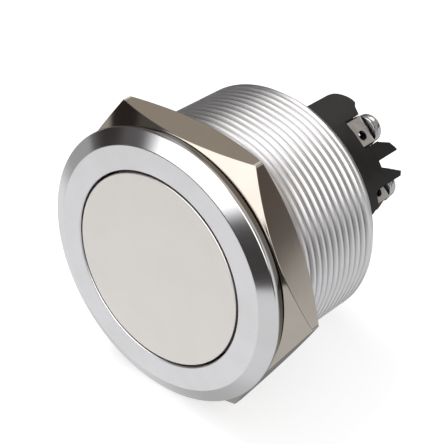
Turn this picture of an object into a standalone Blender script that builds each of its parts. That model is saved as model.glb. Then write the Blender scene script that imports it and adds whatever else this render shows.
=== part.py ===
"""Flush metal pushbutton switch with a screw terminal contact block.

Metres, +Z up. The switch lies on its side with its axis along Y: the button faces -Y and the
terminals face +Y. The origin is on the axis, at the rear face of the flange, where a panel seats.
Depths are measured along the axis, from the front face of the bezel towards the rear.

The contact block is drawn in its own directions: L runs along the row of terminals, from the axis
outwards, W runs across it, and the depth is the third. Its second half is the first one turned by
half a turn about the axis.
"""

from math import atan2, cos, hypot, pi, radians, sin, tan

import bmesh
import bpy
from mathutils import Matrix, Vector

# Clearances and travel
FIT_GAP = 0.0003
BUTTON_GAP = 0.00035
STOP_GAP = 0.0005
PRESS_TRAVEL = 0.0025

# Facets of the round pieces
LARGE_STEPS = 45
MEDIUM_STEPS = 32
SMALL_STEPS = 16
ARC_STEPS = 6
SHARP_ANGLE = radians(32)

# Front: bezel flange, button cap and panel seal
FLANGE_THICKNESS = 0.0030
FLANGE_LIP = 0.00065
FLANGE_EDGE = 0.0002
BEZEL_CHAMFER_WIDTH = 0.00245
BEZEL_CHAMFER_DEPTH = 0.00115
BORE_EDGE = 0.00015
PANEL_SEAL_WIDTH = 0.0009
PANEL_SEAL_THICKNESS = 0.00075
PANEL_SEAL_RECESS = 0.0005
PANEL_SEAL_OFFSET = 0.00045
CAP_DEPTH = 0.0056
CAP_TOP = 0.0015
CAP_EDGE = 0.00025
CAP_SKIRT = 0.00255
BUTTON_SEAL_RADIUS = 0.0006
BUTTON_SEAL_DEPTH = 0.0035
BOSS_WALL = 0.0019
BOSS_DEPTH = 0.0040
PIN_RADIUS = 0.0026
PIN_LENGTH = 0.0021

# Barrel
FRONT_WALL = 0.0038
REAR_WALL = 0.0027
LIP_WALL = 0.00165
LIP_RECESS = 0.0003
WEB_THICKNESS = 0.0020
REAR_BORE_LENGTH = 0.0109
RELIEF_DEPTH = 0.0009
RELIEF_LENGTH = 0.0010
END_CHAMFER_DEPTH = 0.00095
END_CHAMFER_LENGTH = 0.0014
THREAD_PITCH = 0.001355
THREAD_DEPTH = 0.0004
THREAD_END_LAND = 0.0004

# Panel nut
NUT_WALL = 0.0021
NUT_THICKNESS = 0.0055
NUT_FACE_INSET = 0.0003
NUT_CHAMFER_ANGLE = radians(30)
NUT_BORE_EDGE = 0.0007

# Stem, clip and return spring
STEM_RADIUS = 0.0048
STEM_GROOVE_DEPTH = 0.0011
STEM_COLLAR = 0.0020
SPIGOT_RADIUS = 0.0026
SPIGOT_LENGTH = 0.0040
SPIGOT_EDGE = 0.0003
CLIP_THICKNESS = 0.0008
CLIP_WIDTH = 0.0032
CLIP_OPENING = radians(100)
SPRING_WIRE = 0.0009
SPRING_TURNS = 4.0
SPRING_POINTS = 20

# Contact block, from the axis outwards
BLOCK_ANGLE = radians(42)
HUB_WALL = 0.0017
WINDOW_RIB = 0.0003
WINDOW_FRONT_WALL = 0.0017
WINDOW_LENGTH = 0.0046
WINDOW_REAR_WALL = 0.0017
ARM_WIDTH = 0.0037
ARM_END_WALL = 0.0009
GUIDE_RADIUS = 0.0024
GUIDE_LENGTH = 0.0047
BRIDGE_WIDTH = 0.0024
BRIDGE_THICKNESS = 0.0006
BRIDGE_OVERHANG = 0.0016
NC_LIFT = 0.0009
RIVET_RADIUS = 0.0011
RIVET_HEIGHT = 0.0006
CONTACT_SPRING_RADIUS = 0.0010
CONTACT_SPRING_WIRE = 0.0005
CONTACT_SPRING_TURNS = 2.5
CONTACT_SPRING_POINTS = 11

# Terminals: the far one stands further out than the near one
FAR_ACROSS = -0.0021
STRIP_WIDTH = 0.0045
STRIP_THICKNESS = 0.0008
STRIP_BEND = 0.0003
STRIP_TIP_GAP = 0.0006
RISER_CLEARANCE = 0.0004
PLATE_FLAT = 0.0028
TERMINAL_STEP = 0.0035
APRON_HOLE_RADIUS = 0.00085
APRON_HOLE_HEIGHT = 0.0020
APRON_HOLE_OFFSET = 0.0006
SHANK_RADIUS = 0.00105
SHANK_BELOW_PLATE = 0.0014
HEAD_RADIUS = 0.00235
HEAD_HEIGHT = 0.0018
HEAD_SIDE = 0.0009
SLOT_WIDTH = 0.0006
SLOT_DEPTH = 0.0008
WASHER_RADIUS = 0.00255
WASHER_THICKNESS = 0.0005

# Moulded base
APRON_SETBACK = 0.0003
BASE_STANDOFF = 0.0020
RECESS_RADIUS = 0.0080
RIM_LENGTH = 0.0068
BASE_SEAL_RADIUS = 0.00045
BASE_SEAL_OFFSET = 0.0030
SIDE_WALL = 0.00085
DECK_HEIGHT = 0.0047
PEDESTAL_HEIGHT = 0.0034
MIDDLE_STEP = 0.0003
MIDDLE_HALF_LENGTH = 0.0093
HUMP_RADIUS = 0.0028
HUMP_HEIGHT = 0.0022
HUMP_END_ANGLE = radians(82)
HUMP_SHOULDER_ACROSS = 0.0010
HUMP_SHOULDER_DROP = 0.0008
BARRIER_HEIGHT = 0.0066
BARRIER_SHOULDER = 0.0057
BARRIER_SHOULDER_ACROSS = 0.00115
BARRIER_GROOVE = 0.0011
BARRIER_GROOVE_HEIGHT = 0.0017
TOOTH_WIDTH = 0.0027
TOOTH_HEIGHT = 0.0058
TOOTH_SHOULDER_ACROSS = 0.00205
TOOTH_DROP = 0.0004
CORNER_CLEARANCE = 0.0005
CORNER_DROP = 0.0012
CORNER_SLOPE_WIDTH = 0.0007
CORNER_SLOPE_HEIGHT = 0.0018
CUT_MARGIN = 0.0010

# Worked out along the axis
PANEL_SEAL_FRONT = FLANGE_THICKNESS - PANEL_SEAL_RECESS
PANEL_SEAL_REAR = PANEL_SEAL_FRONT + PANEL_SEAL_THICKNESS
NUT_FRONT = PANEL_SEAL_REAR + FIT_GAP
NUT_REAR = NUT_FRONT + NUT_THICKNESS
WEB_FRONT = CAP_DEPTH + PRESS_TRAVEL + STOP_GAP
WEB_REAR = WEB_FRONT + WEB_THICKNESS
CLIP_FRONT = WEB_REAR + FIT_GAP
CLIP_REAR = CLIP_FRONT + CLIP_THICKNESS
STEM_FRONT = BOSS_DEPTH + FIT_GAP
STEM_REAR = CLIP_REAR + FIT_GAP + STEM_COLLAR
BASE_FRONT = WEB_REAR + BASE_STANDOFF
RECESS_END = CLIP_REAR + PRESS_TRAVEL + FIT_GAP
STEM_HOLE_END = STEM_REAR + PRESS_TRAVEL + FIT_GAP * 1.2
CARRIER_FRONT = STEM_REAR + FIT_GAP
WINDOW_FRONT = CARRIER_FRONT + WINDOW_FRONT_WALL
WINDOW_REAR = WINDOW_FRONT + WINDOW_LENGTH
CARRIER_REAR = WINDOW_REAR + WINDOW_REAR_WALL
NO_BRIDGE_FRONT = WINDOW_REAR - FIT_GAP - BRIDGE_THICKNESS
NC_BRIDGE_FRONT = WINDOW_FRONT + NC_LIFT
NO_STRIP_FRONT = WINDOW_REAR - FIT_GAP + RIVET_HEIGHT + PRESS_TRAVEL + FIT_GAP + RIVET_HEIGHT
NC_STRIP_FRONT = NC_BRIDGE_FRONT - RIVET_HEIGHT - FIT_GAP - RIVET_HEIGHT - STRIP_THICKNESS
CHAMBER_END = max(CARRIER_REAR + PRESS_TRAVEL, NO_STRIP_FRONT + STRIP_THICKNESS) + STOP_GAP
GUIDE_END = CARRIER_REAR + GUIDE_LENGTH
GUIDE_HOLE_END = GUIDE_END + PRESS_TRAVEL + STOP_GAP
SHOULDER = WEB_REAR + REAR_BORE_LENGTH
RIM_FRONT = SHOULDER + FIT_GAP
RIM_REAR = RIM_FRONT + RIM_LENGTH
BARREL_END = RIM_REAR + LIP_RECESS
BASE_SEAL_DEPTH = RIM_FRONT + BASE_SEAL_OFFSET
DECK = RIM_REAR + DECK_HEIGHT
PEDESTAL = DECK + PEDESTAL_HEIGHT
PLATE_FRONT = PEDESTAL + FIT_GAP
PLATE_REAR = PLATE_FRONT + STRIP_THICKNESS
WASHER_FRONT = PLATE_REAR + FIT_GAP
HEAD_FRONT = WASHER_FRONT + WASHER_THICKNESS + FIT_GAP
HEAD_REAR = HEAD_FRONT + HEAD_HEIGHT
BLOCK_TOP = DECK + max(BARRIER_HEIGHT, TOOTH_HEIGHT, HUMP_HEIGHT + HUMP_RADIUS) + CUT_MARGIN

# Worked out from the axis outwards
SOCKET_RADIUS = SPIGOT_RADIUS + FIT_GAP
HUB_LENGTH = SOCKET_RADIUS + HUB_WALL
BRIDGE_OUT = HUB_LENGTH + WINDOW_RIB + FIT_GAP + BRIDGE_WIDTH / 2
WINDOW_START = BRIDGE_OUT - BRIDGE_WIDTH / 2 - FIT_GAP
WINDOW_END = BRIDGE_OUT + BRIDGE_WIDTH / 2 + FIT_GAP
ARM_END = WINDOW_END + ARM_END_WALL
STRIP_TIP = HUB_LENGTH + STRIP_TIP_GAP
NEAR_RISER = ARM_END + RISER_CLEARANCE
FAR_RISER = NEAR_RISER + TERMINAL_STEP
RISER_TO_SCREW = STRIP_THICKNESS + PLATE_FLAT / 2
RISER_TO_APRON = STRIP_THICKNESS + PLATE_FLAT
ARM_ACROSS = FAR_ACROSS + STRIP_WIDTH / 2 + FIT_GAP + ARM_WIDTH / 2
NEAR_ACROSS = ARM_ACROSS + ARM_WIDTH / 2 + FIT_GAP + STRIP_WIDTH / 2
HUB_WIDTH = ARM_ACROSS + ARM_WIDTH / 2 + FIT_GAP
SLOT_HALF = STRIP_WIDTH / 2 + FIT_GAP
BLOCK_HALF_WIDTH = NEAR_ACROSS + STRIP_WIDTH / 2 + SIDE_WALL
FAR_APRON_END = FAR_RISER + RISER_TO_APRON + STRIP_THICKNESS
NEAR_APRON_END = NEAR_RISER + RISER_TO_APRON + STRIP_THICKNESS
BASE_RADIUS = hypot(abs(FAR_ACROSS) + STRIP_WIDTH / 2, FAR_APRON_END) + APRON_SETBACK
TOOTH_START = NEAR_RISER + RISER_TO_SCREW + WASHER_RADIUS + FIT_GAP
LIP_BORE = BASE_RADIUS + FIT_GAP
THREAD_RADIUS = LIP_BORE + LIP_WALL
REAR_BORE = THREAD_RADIUS - REAR_WALL
SKIRT_RADIUS = REAR_BORE - FIT_GAP
BASE_GROOVE_RADIUS = LIP_BORE - 2 * FIT_GAP - 2 * BASE_SEAL_RADIUS
FRONT_BORE = THREAD_RADIUS - FRONT_WALL
BUTTON_RADIUS = FRONT_BORE - BUTTON_GAP
CAP_INSIDE = BUTTON_RADIUS - CAP_SKIRT
CAP_GROOVE_RADIUS = FRONT_BORE - 2 * FIT_GAP - 2 * BUTTON_SEAL_RADIUS
PIN_SOCKET = PIN_RADIUS + FIT_GAP
BOSS_RADIUS = PIN_SOCKET + BOSS_WALL
SPRING_RADIUS = (BOSS_RADIUS + CAP_INSIDE) / 2
WEB_HOLE = STEM_RADIUS + FIT_GAP
PANEL_GROOVE_INSIDE = THREAD_RADIUS + PANEL_SEAL_OFFSET
PANEL_GROOVE_OUTSIDE = PANEL_GROOVE_INSIDE + PANEL_SEAL_WIDTH + 2 * FIT_GAP
FLANGE_RADIUS = PANEL_GROOVE_OUTSIDE + FLANGE_LIP
NUT_HALF_FLATS = THREAD_RADIUS + NUT_WALL
NUT_BORE = THREAD_RADIUS + FIT_GAP

# Colours as linear red, green and blue, with metallic and roughness
BRUSHED_METAL = ((0.66, 0.65, 0.64), 1.0, 0.38)
BUTTON_METAL = ((0.64, 0.62, 0.60), 1.0, 0.42)
NICKEL = ((0.44, 0.38, 0.32), 1.0, 0.28)
BRASS = ((0.62, 0.60, 0.58), 1.0, 0.35)
STEEL = ((0.60, 0.60, 0.61), 1.0, 0.25)
BLACK_PLASTIC = ((0.018, 0.017, 0.016), 0.0, 0.5)
GREY_PLASTIC = ((0.30, 0.30, 0.29), 0.0, 0.55)
RUBBER = ((0.012, 0.012, 0.012), 0.0, 0.75)


def clear_scene():
    """Removes what the open scene holds."""
    for item in list(bpy.data.objects):
        bpy.data.objects.remove(item)


def new_collection(name):
    """Adds a collection to the scene."""
    collection = bpy.data.collections.new(name)
    bpy.context.scene.collection.children.link(collection)
    return collection


def add_empty(name, parent=None, location=(0, 0, 0), rotation=(0, 0, 0)):
    """Adds an empty that places the pieces under it."""
    empty = bpy.data.objects.new(name, None)
    PARTS.objects.link(empty)
    empty.parent = parent
    empty.location = location
    empty.rotation_euler = rotation
    return empty


def add_object(name, data):
    """Adds an object that holds a mesh or a curve."""
    item = bpy.data.objects.new(name, data)
    PARTS.objects.link(item)
    return item


def bake(item):
    """Makes an object's evaluated shape its mesh, and returns the object."""
    bpy.context.view_layer.update()
    graph = bpy.context.evaluated_depsgraph_get()
    mesh = bpy.data.meshes.new_from_object(item.evaluated_get(graph))
    name = item.name
    if item.type == "MESH":
        item.modifiers.clear()
        item.data = mesh
        result = item
    else:
        bpy.data.objects.remove(item)
        result = add_object(name, mesh)
    shape = bmesh.new()
    shape.from_mesh(mesh)
    bmesh.ops.remove_doubles(shape, verts=shape.verts, dist=0.000001)
    shape.to_mesh(mesh)
    shape.free()
    mesh.name = name
    mesh.shade_smooth()
    mesh.set_sharp_from_angle(angle=SHARP_ANGLE)
    return result


def turned(name, profile, steps=LARGE_STEPS, ring=True):
    """Turns a profile of (radius, depth) points about the axis.

    The profile runs from the rear to the front along its outer side. A ring's profile closes on
    itself, and a solid's starts and ends on the axis.
    """
    mesh = bpy.data.meshes.new(name)
    count = len(profile)
    edges = [(i, (i + 1) % count) for i in range(count if ring else count - 1)]
    mesh.from_pydata([(radius, 0, depth) for radius, depth in profile], edges, [])
    item = add_object(name, mesh)
    screw = item.modifiers.new("turn", "SCREW")
    screw.axis = "Z"
    screw.angle = 2 * pi
    screw.steps = steps
    screw.render_steps = steps
    screw.use_merge_vertices = True
    screw.merge_threshold = 0.00001
    return bake(item)


def box(name, lower, upper):
    """Adds a box between two corners."""
    mesh = bpy.data.meshes.new(name)
    shape = bmesh.new()
    bmesh.ops.create_cube(shape, size=1)
    size = Vector(upper) - Vector(lower)
    middle = (Vector(upper) + Vector(lower)) / 2
    bmesh.ops.transform(shape, matrix=Matrix.LocRotScale(middle, None, size), verts=shape.verts)
    shape.to_mesh(mesh)
    shape.free()
    return add_object(name, mesh)


def rod(name, radius, front, rear, out=0, across=0, steps=SMALL_STEPS):
    """Adds a cylinder that stands along the axis, between two depths."""
    mesh = bpy.data.meshes.new(name)
    shape = bmesh.new()
    bmesh.ops.create_cone(
        shape, cap_ends=True, segments=steps, radius1=radius, radius2=radius, depth=rear - front
    )
    place = Matrix.Translation((out, across, (front + rear) / 2))
    bmesh.ops.transform(shape, matrix=place, verts=shape.verts)
    shape.to_mesh(mesh)
    shape.free()
    return add_object(name, mesh)


# Directions of a flat outline's first and second numbers and of its thickness
PLAN = Matrix.Identity(4)
SIDE_VIEW = Matrix(((1, 0, 0, 0), (0, 0, -1, 0), (0, 1, 0, 0), (0, 0, 0, 1)))
END_VIEW = Matrix(((0, 0, 1, 0), (1, 0, 0, 0), (0, 1, 0, 0), (0, 0, 0, 1)))


def plate(name, outline, thickness, view=PLAN, middle=(0, 0, 0)):
    """Gives a flat outline a thickness about its plane.

    PLAN draws L and W, SIDE_VIEW draws L and depth, and END_VIEW draws W and depth. The middle is
    the place of the outline's own origin.
    """
    curve = bpy.data.curves.new(name, "CURVE")
    curve.dimensions = "2D"
    curve.fill_mode = "BOTH"
    curve.extrude = thickness / 2
    spline = curve.splines.new("POLY")
    spline.points.add(len(outline) - 1)
    for point, (first, second) in zip(spline.points, outline):
        point.co = (first, second, 0, 1)
    spline.use_cyclic_u = True
    item = bake(add_object(name, curve))
    item.data.transform(Matrix.Translation(middle) @ view)
    return item


def arc(centre, radius, start, end, steps=ARC_STEPS):
    """Points along an arc, with both ends."""
    angles = [start + (end - start) * i / steps for i in range(steps + 1)]
    return [(centre[0] + radius * cos(a), centre[1] + radius * sin(a)) for a in angles]


def combine(item, others, operation):
    """Joins, cuts or trims an object with others, which are used up."""
    for other in others:
        boolean = item.modifiers.new(other.name, "BOOLEAN")
        boolean.operation = operation
        boolean.object = other
        boolean.solver = "EXACT"
    item = bake(item)
    for other in others:
        bpy.data.objects.remove(other)
    return item


def coil(name, radius, wire, front, rear, turns, points, out=0, across=0):
    """Adds a wire coil with closed ends, between two depths."""
    curve = bpy.data.curves.new(name, "CURVE")
    curve.dimensions = "3D"
    curve.bevel_depth = wire / 2
    curve.bevel_resolution = 1
    curve.use_fill_caps = True
    low = front + wire / 2
    high = rear - wire / 2
    total = round(turns * points)
    spline = curve.splines.new("POLY")
    spline.points.add(total)
    for i, point in enumerate(spline.points):
        angle = 2 * pi * i / points
        depth = coil_depth(i / points, turns, low, high, wire)
        point.co = (out + radius * cos(angle), across + radius * sin(angle), depth, 1)
    return add_object(name, curve)


def coil_depth(turn, turns, low, high, wire):
    """Depth of a coil's wire after some turns: the end turns lie close, the others are even."""
    close = wire * 1.15
    ends = min(1.0, turns / 4)
    if turn < ends:
        return low + close * turn
    if turn > turns - ends:
        return high - close * (turns - turn)
    share = (turn - ends) / (turns - 2 * ends)
    return low + close * ends + share * (high - low - 2 * close * ends)


def finish(item, parent, look, location=(0, 0, 0)):
    """Places a finished piece under its parent and gives it a material of its own."""
    colour, metallic, roughness = look
    material = bpy.data.materials.new(item.name + "_finish")
    material.use_nodes = True
    shader = material.node_tree.nodes["Principled BSDF"]
    shader.inputs["Base Color"].default_value = (*colour, 1)
    shader.inputs["Metallic"].default_value = metallic
    shader.inputs["Roughness"].default_value = roughness
    item.data.materials.clear()
    item.data.materials.append(material)
    item.parent = parent
    item.location = location
    return item


def bezel_housing():
    """Flange, threaded barrel and inner web, turned from one bar."""
    groove_bottom = PANEL_SEAL_FRONT - FIT_GAP
    relief = THREAD_RADIUS - RELIEF_DEPTH
    relief_end = FLANGE_THICKNESS + RELIEF_LENGTH
    thread_front = relief_end + RELIEF_DEPTH / 2
    thread_rear = BARREL_END - END_CHAMFER_LENGTH - THREAD_END_LAND
    thread = []
    for i in range(int((thread_rear - thread_front) / THREAD_PITCH)):
        crest = thread_rear - i * THREAD_PITCH
        thread += [(THREAD_RADIUS, crest), (THREAD_RADIUS - THREAD_DEPTH, crest - THREAD_PITCH / 2)]
    return turned("bezel_housing", [
        (LIP_BORE, BARREL_END),
        (THREAD_RADIUS - END_CHAMFER_DEPTH, BARREL_END),
        (THREAD_RADIUS, BARREL_END - END_CHAMFER_LENGTH),
        *thread,
        (THREAD_RADIUS, thread_front),
        (relief, relief_end),
        (relief, FLANGE_THICKNESS),
        (PANEL_GROOVE_INSIDE, FLANGE_THICKNESS),
        (PANEL_GROOVE_INSIDE, groove_bottom),
        (PANEL_GROOVE_OUTSIDE, groove_bottom),
        (PANEL_GROOVE_OUTSIDE, FLANGE_THICKNESS),
        (FLANGE_RADIUS - FLANGE_EDGE, FLANGE_THICKNESS),
        (FLANGE_RADIUS, FLANGE_THICKNESS - FLANGE_EDGE),
        (FLANGE_RADIUS, BEZEL_CHAMFER_DEPTH),
        (FLANGE_RADIUS - BEZEL_CHAMFER_WIDTH, 0),
        (FRONT_BORE + BORE_EDGE, 0),
        (FRONT_BORE, BORE_EDGE),
        (FRONT_BORE, WEB_FRONT),
        (WEB_HOLE, WEB_FRONT),
        (WEB_HOLE, WEB_REAR),
        (REAR_BORE, WEB_REAR),
        (REAR_BORE, SHOULDER),
        (LIP_BORE, SHOULDER),
    ])


def button_cap():
    """Flush button: a cup with a seal groove outside and a boss inside."""
    edge = arc((BUTTON_RADIUS - CAP_EDGE, CAP_EDGE), CAP_EDGE, 0, -pi / 2, 3)
    groove = BUTTON_SEAL_RADIUS + FIT_GAP
    socket_end = STEM_FRONT - PIN_LENGTH - FIT_GAP
    return turned("button_cap", [
        (0, socket_end),
        (PIN_SOCKET, socket_end),
        (PIN_SOCKET, BOSS_DEPTH),
        (BOSS_RADIUS, BOSS_DEPTH),
        (BOSS_RADIUS, CAP_TOP),
        (CAP_INSIDE, CAP_TOP),
        (CAP_INSIDE, CAP_DEPTH),
        (BUTTON_RADIUS, CAP_DEPTH),
        (BUTTON_RADIUS, BUTTON_SEAL_DEPTH + groove),
        (CAP_GROOVE_RADIUS, BUTTON_SEAL_DEPTH + groove),
        (CAP_GROOVE_RADIUS, BUTTON_SEAL_DEPTH - groove),
        (BUTTON_RADIUS, BUTTON_SEAL_DEPTH - groove),
        *edge,
        (0, 0),
    ], ring=False)


def round_seal(name, bore, section, depth):
    """Ring seal of a round section that lies inside a bore."""
    ring = arc((bore - FIT_GAP - section, depth), section, pi / 2, -3 * pi / 2, 6)
    return turned(name, ring[:-1], steps=MEDIUM_STEPS)


def panel_seal_ring():
    """Flat rubber ring in the groove behind the flange."""
    inside = PANEL_GROOVE_INSIDE + FIT_GAP
    outside = inside + PANEL_SEAL_WIDTH
    return turned("panel_seal_ring", [
        (inside, PANEL_SEAL_REAR),
        (outside, PANEL_SEAL_REAR),
        (outside, PANEL_SEAL_FRONT),
        (inside, PANEL_SEAL_FRONT),
    ], steps=MEDIUM_STEPS)


def hex_nut():
    """Panel nut: a hexagon with a chamfer on both faces and a plain bore."""
    corner = NUT_HALF_FLATS / cos(pi / 6)
    hexagon = [(corner * cos(i * pi / 3), corner * sin(i * pi / 3)) for i in range(6)]
    middle = (NUT_FRONT + NUT_REAR) / 2
    nut = plate("hex_nut", hexagon, NUT_THICKNESS + 2 * CUT_MARGIN, middle=(0, 0, middle))
    face = NUT_HALF_FLATS - NUT_FACE_INSET
    outside = corner + NUT_FACE_INSET
    slope = (outside - face) * tan(NUT_CHAMFER_ANGLE)
    blank = turned("nut_blank", [
        (face, NUT_REAR),
        (outside, NUT_REAR - slope),
        (outside, NUT_FRONT + slope),
        (face, NUT_FRONT),
        (NUT_BORE + NUT_BORE_EDGE, NUT_FRONT),
        (NUT_BORE, NUT_FRONT + NUT_BORE_EDGE),
        (NUT_BORE, NUT_REAR - NUT_BORE_EDGE),
        (NUT_BORE + NUT_BORE_EDGE, NUT_REAR),
    ])
    return combine(nut, [blank], "INTERSECT")


def button_stem():
    """Stem from the cap through the web, with the clip's groove and a spigot."""
    groove = STEM_RADIUS - STEM_GROOVE_DEPTH
    spigot_end = STEM_REAR + SPIGOT_LENGTH
    return turned("button_stem", [
        (0, spigot_end),
        (SPIGOT_RADIUS - SPIGOT_EDGE, spigot_end),
        (SPIGOT_RADIUS, spigot_end - SPIGOT_EDGE),
        (SPIGOT_RADIUS, STEM_REAR),
        (STEM_RADIUS, STEM_REAR),
        (STEM_RADIUS, CLIP_REAR + FIT_GAP),
        (groove, CLIP_REAR + FIT_GAP),
        (groove, WEB_REAR),
        (STEM_RADIUS, WEB_REAR),
        (STEM_RADIUS, STEM_FRONT),
        (PIN_RADIUS, STEM_FRONT),
        (PIN_RADIUS, STEM_FRONT - PIN_LENGTH),
        (0, STEM_FRONT - PIN_LENGTH),
    ], steps=SMALL_STEPS, ring=False)


def stem_clip():
    """Open clip in the stem's groove, which stops the stem against the web."""
    inside = STEM_RADIUS - STEM_GROOVE_DEPTH + FIT_GAP
    outside = inside + CLIP_WIDTH
    start = CLIP_OPENING / 2
    end = 2 * pi - start
    outline = arc((0, 0), outside, start, end, 4 * ARC_STEPS)
    outline += arc((0, 0), inside, end, start, 3 * ARC_STEPS)
    return plate("stem_clip", outline, CLIP_THICKNESS, middle=(0, 0, (CLIP_FRONT + CLIP_REAR) / 2))


def slot_cutter(name, riser, across, front, rear):
    """Cutter for one terminal strip: its arm lies between two depths, its riser goes on rearward."""
    tip = STRIP_TIP - FIT_GAP * 1.5
    inner = riser - FIT_GAP
    outer = riser + STRIP_THICKNESS + FIT_GAP
    outline = [(tip, front), (outer, front), (outer, BLOCK_TOP)]
    outline += [(inner, BLOCK_TOP), (inner, rear), (tip, rear)]
    return plate(name, outline, 2 * SLOT_HALF, SIDE_VIEW, (0, across, 0))


def end_cutters():
    """Cutters that shape one end of the block: rounded barrier, middle barrier and tooth."""
    edge = BLOCK_HALF_WIDTH + CUT_MARGIN
    reach = BASE_RADIUS + CUT_MARGIN
    far_left = FAR_ACROSS - SLOT_HALF + FIT_GAP / 2
    far_right = FAR_ACROSS + SLOT_HALF
    near_left = NEAR_ACROSS - SLOT_HALF + FIT_GAP / 2
    hump = (HUMP_RADIUS - BLOCK_HALF_WIDTH, DECK + HUMP_HEIGHT)
    shoulder = hump[1] + HUMP_RADIUS - HUMP_SHOULDER_DROP
    barrier_right = near_left - BARRIER_GROOVE
    skyline = [(-edge, BLOCK_TOP), (-edge, hump[1])]
    skyline += arc(hump, HUMP_RADIUS, pi, HUMP_END_ANGLE, 8)
    skyline += [
        (hump[0] + HUMP_SHOULDER_ACROSS, shoulder),
        (far_left, PEDESTAL),
        (far_right + FIT_GAP / 3, PEDESTAL),
        (far_right + BARRIER_SHOULDER_ACROSS, DECK + BARRIER_SHOULDER),
        (barrier_right - FIT_GAP / 3, DECK + BARRIER_HEIGHT),
        (barrier_right, DECK + BARRIER_HEIGHT - FIT_GAP),
        (barrier_right, DECK + BARRIER_GROOVE_HEIGHT),
        (near_left, DECK + BARRIER_GROOVE_HEIGHT),
        (near_left + TOOTH_SHOULDER_ACROSS, DECK + TOOTH_HEIGHT),
        (near_left + TOOTH_WIDTH, DECK + TOOTH_HEIGHT - TOOTH_DROP),
        (edge, DECK + TOOTH_HEIGHT - TOOTH_DROP),
        (edge, BLOCK_TOP),
    ]
    length = reach - MIDDLE_HALF_LENGTH
    place = ((reach + MIDDLE_HALF_LENGTH) / 2, 0, 0)
    near_pocket = NEAR_RISER + RISER_TO_APRON - FIT_GAP
    recess = [(MIDDLE_HALF_LENGTH - FIT_GAP, PEDESTAL), (near_pocket, PEDESTAL)]
    recess += [(near_pocket, DECK), (TOOTH_START, DECK)]
    recess += [(TOOTH_START, BLOCK_TOP), (MIDDLE_HALF_LENGTH - FIT_GAP, BLOCK_TOP)]
    recess_left = near_left - BARRIER_GROOVE / 2
    tooth_right = near_left + TOOTH_WIDTH
    corner = [
        (2 * BASE_RADIUS, tooth_right),
        (NEAR_APRON_END + CORNER_CLEARANCE, tooth_right),
        (NEAR_APRON_END + CORNER_CLEARANCE, NEAR_ACROSS + STRIP_WIDTH / 2 - CORNER_CLEARANCE),
        (NEAR_RISER + RISER_TO_SCREW, NEAR_ACROSS + STRIP_WIDTH / 2 + CORNER_CLEARANCE),
        (NEAR_RISER, BLOCK_HALF_WIDTH + CORNER_CLEARANCE),
        (NEAR_RISER, 2 * BASE_RADIUS),
        (2 * BASE_RADIUS, 2 * BASE_RADIUS),
    ]
    far_pocket = FAR_RISER + RISER_TO_APRON - FIT_GAP
    high = BLOCK_TOP + CUT_MARGIN
    low = DECK - CORNER_DROP
    slope_top = low + FIT_GAP / 2
    slope_start = BLOCK_HALF_WIDTH - CORNER_SLOPE_WIDTH
    fall = CORNER_SLOPE_HEIGHT / CORNER_SLOPE_WIDTH
    slope = [(slope_start, slope_top), (edge, slope_top), (edge, slope_top - fall * (edge - slope_start))]
    return [
        plate("skyline_cut", skyline, length, END_VIEW, place),
        plate(
            "near_recess", recess, edge - recess_left, SIDE_VIEW, (0, (edge + recess_left) / 2, 0)
        ),
        plate("corner_cut", corner, high - low, PLAN, (0, 0, (high + low) / 2)),
        plate("corner_slope", slope, length, END_VIEW, place),
        box("far_pocket", (far_pocket, FAR_ACROSS - SLOT_HALF, DECK), (reach, far_right, high)),
    ]


def half_cutters(front, rear):
    """Cutters for one half of the base, with its strips' arms between two depths."""
    opening = BASE_FRONT - CUT_MARGIN
    side = BASE_RADIUS + CUT_MARGIN
    arm_left = ARM_ACROSS - ARM_WIDTH / 2 - FIT_GAP
    arm_right = ARM_ACROSS + ARM_WIDTH / 2 + FIT_GAP
    bridge_left = FAR_ACROSS - BRIDGE_OVERHANG - FIT_GAP
    bridge_right = NEAR_ACROSS + BRIDGE_OVERHANG + FIT_GAP
    hole = SHANK_RADIUS + FIT_GAP
    hole_end = PLATE_FRONT - SHANK_BELOW_PLATE - STOP_GAP
    cutters = end_cutters()
    cutters += [
        box(
            "side_cut",
            (-side, BLOCK_HALF_WIDTH, RIM_REAR),
            (side, side, BLOCK_TOP + CUT_MARGIN),
        ),
        box(
            "arm_chamber",
            (0, arm_left, opening),
            (ARM_END + FIT_GAP, arm_right, CHAMBER_END),
        ),
        box(
            "bridge_chamber",
            (WINDOW_START - FIT_GAP, bridge_left, opening),
            (WINDOW_END, bridge_right, CHAMBER_END),
        ),
        slot_cutter("far_slot", FAR_RISER, FAR_ACROSS, front, rear),
        slot_cutter("near_slot", NEAR_RISER, NEAR_ACROSS, front, rear),
        rod("far_hole", hole, hole_end, BLOCK_TOP, FAR_RISER + RISER_TO_SCREW, FAR_ACROSS),
        rod("near_hole", hole, hole_end, BLOCK_TOP, NEAR_RISER + RISER_TO_SCREW, NEAR_ACROSS),
    ]
    return cutters


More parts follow.
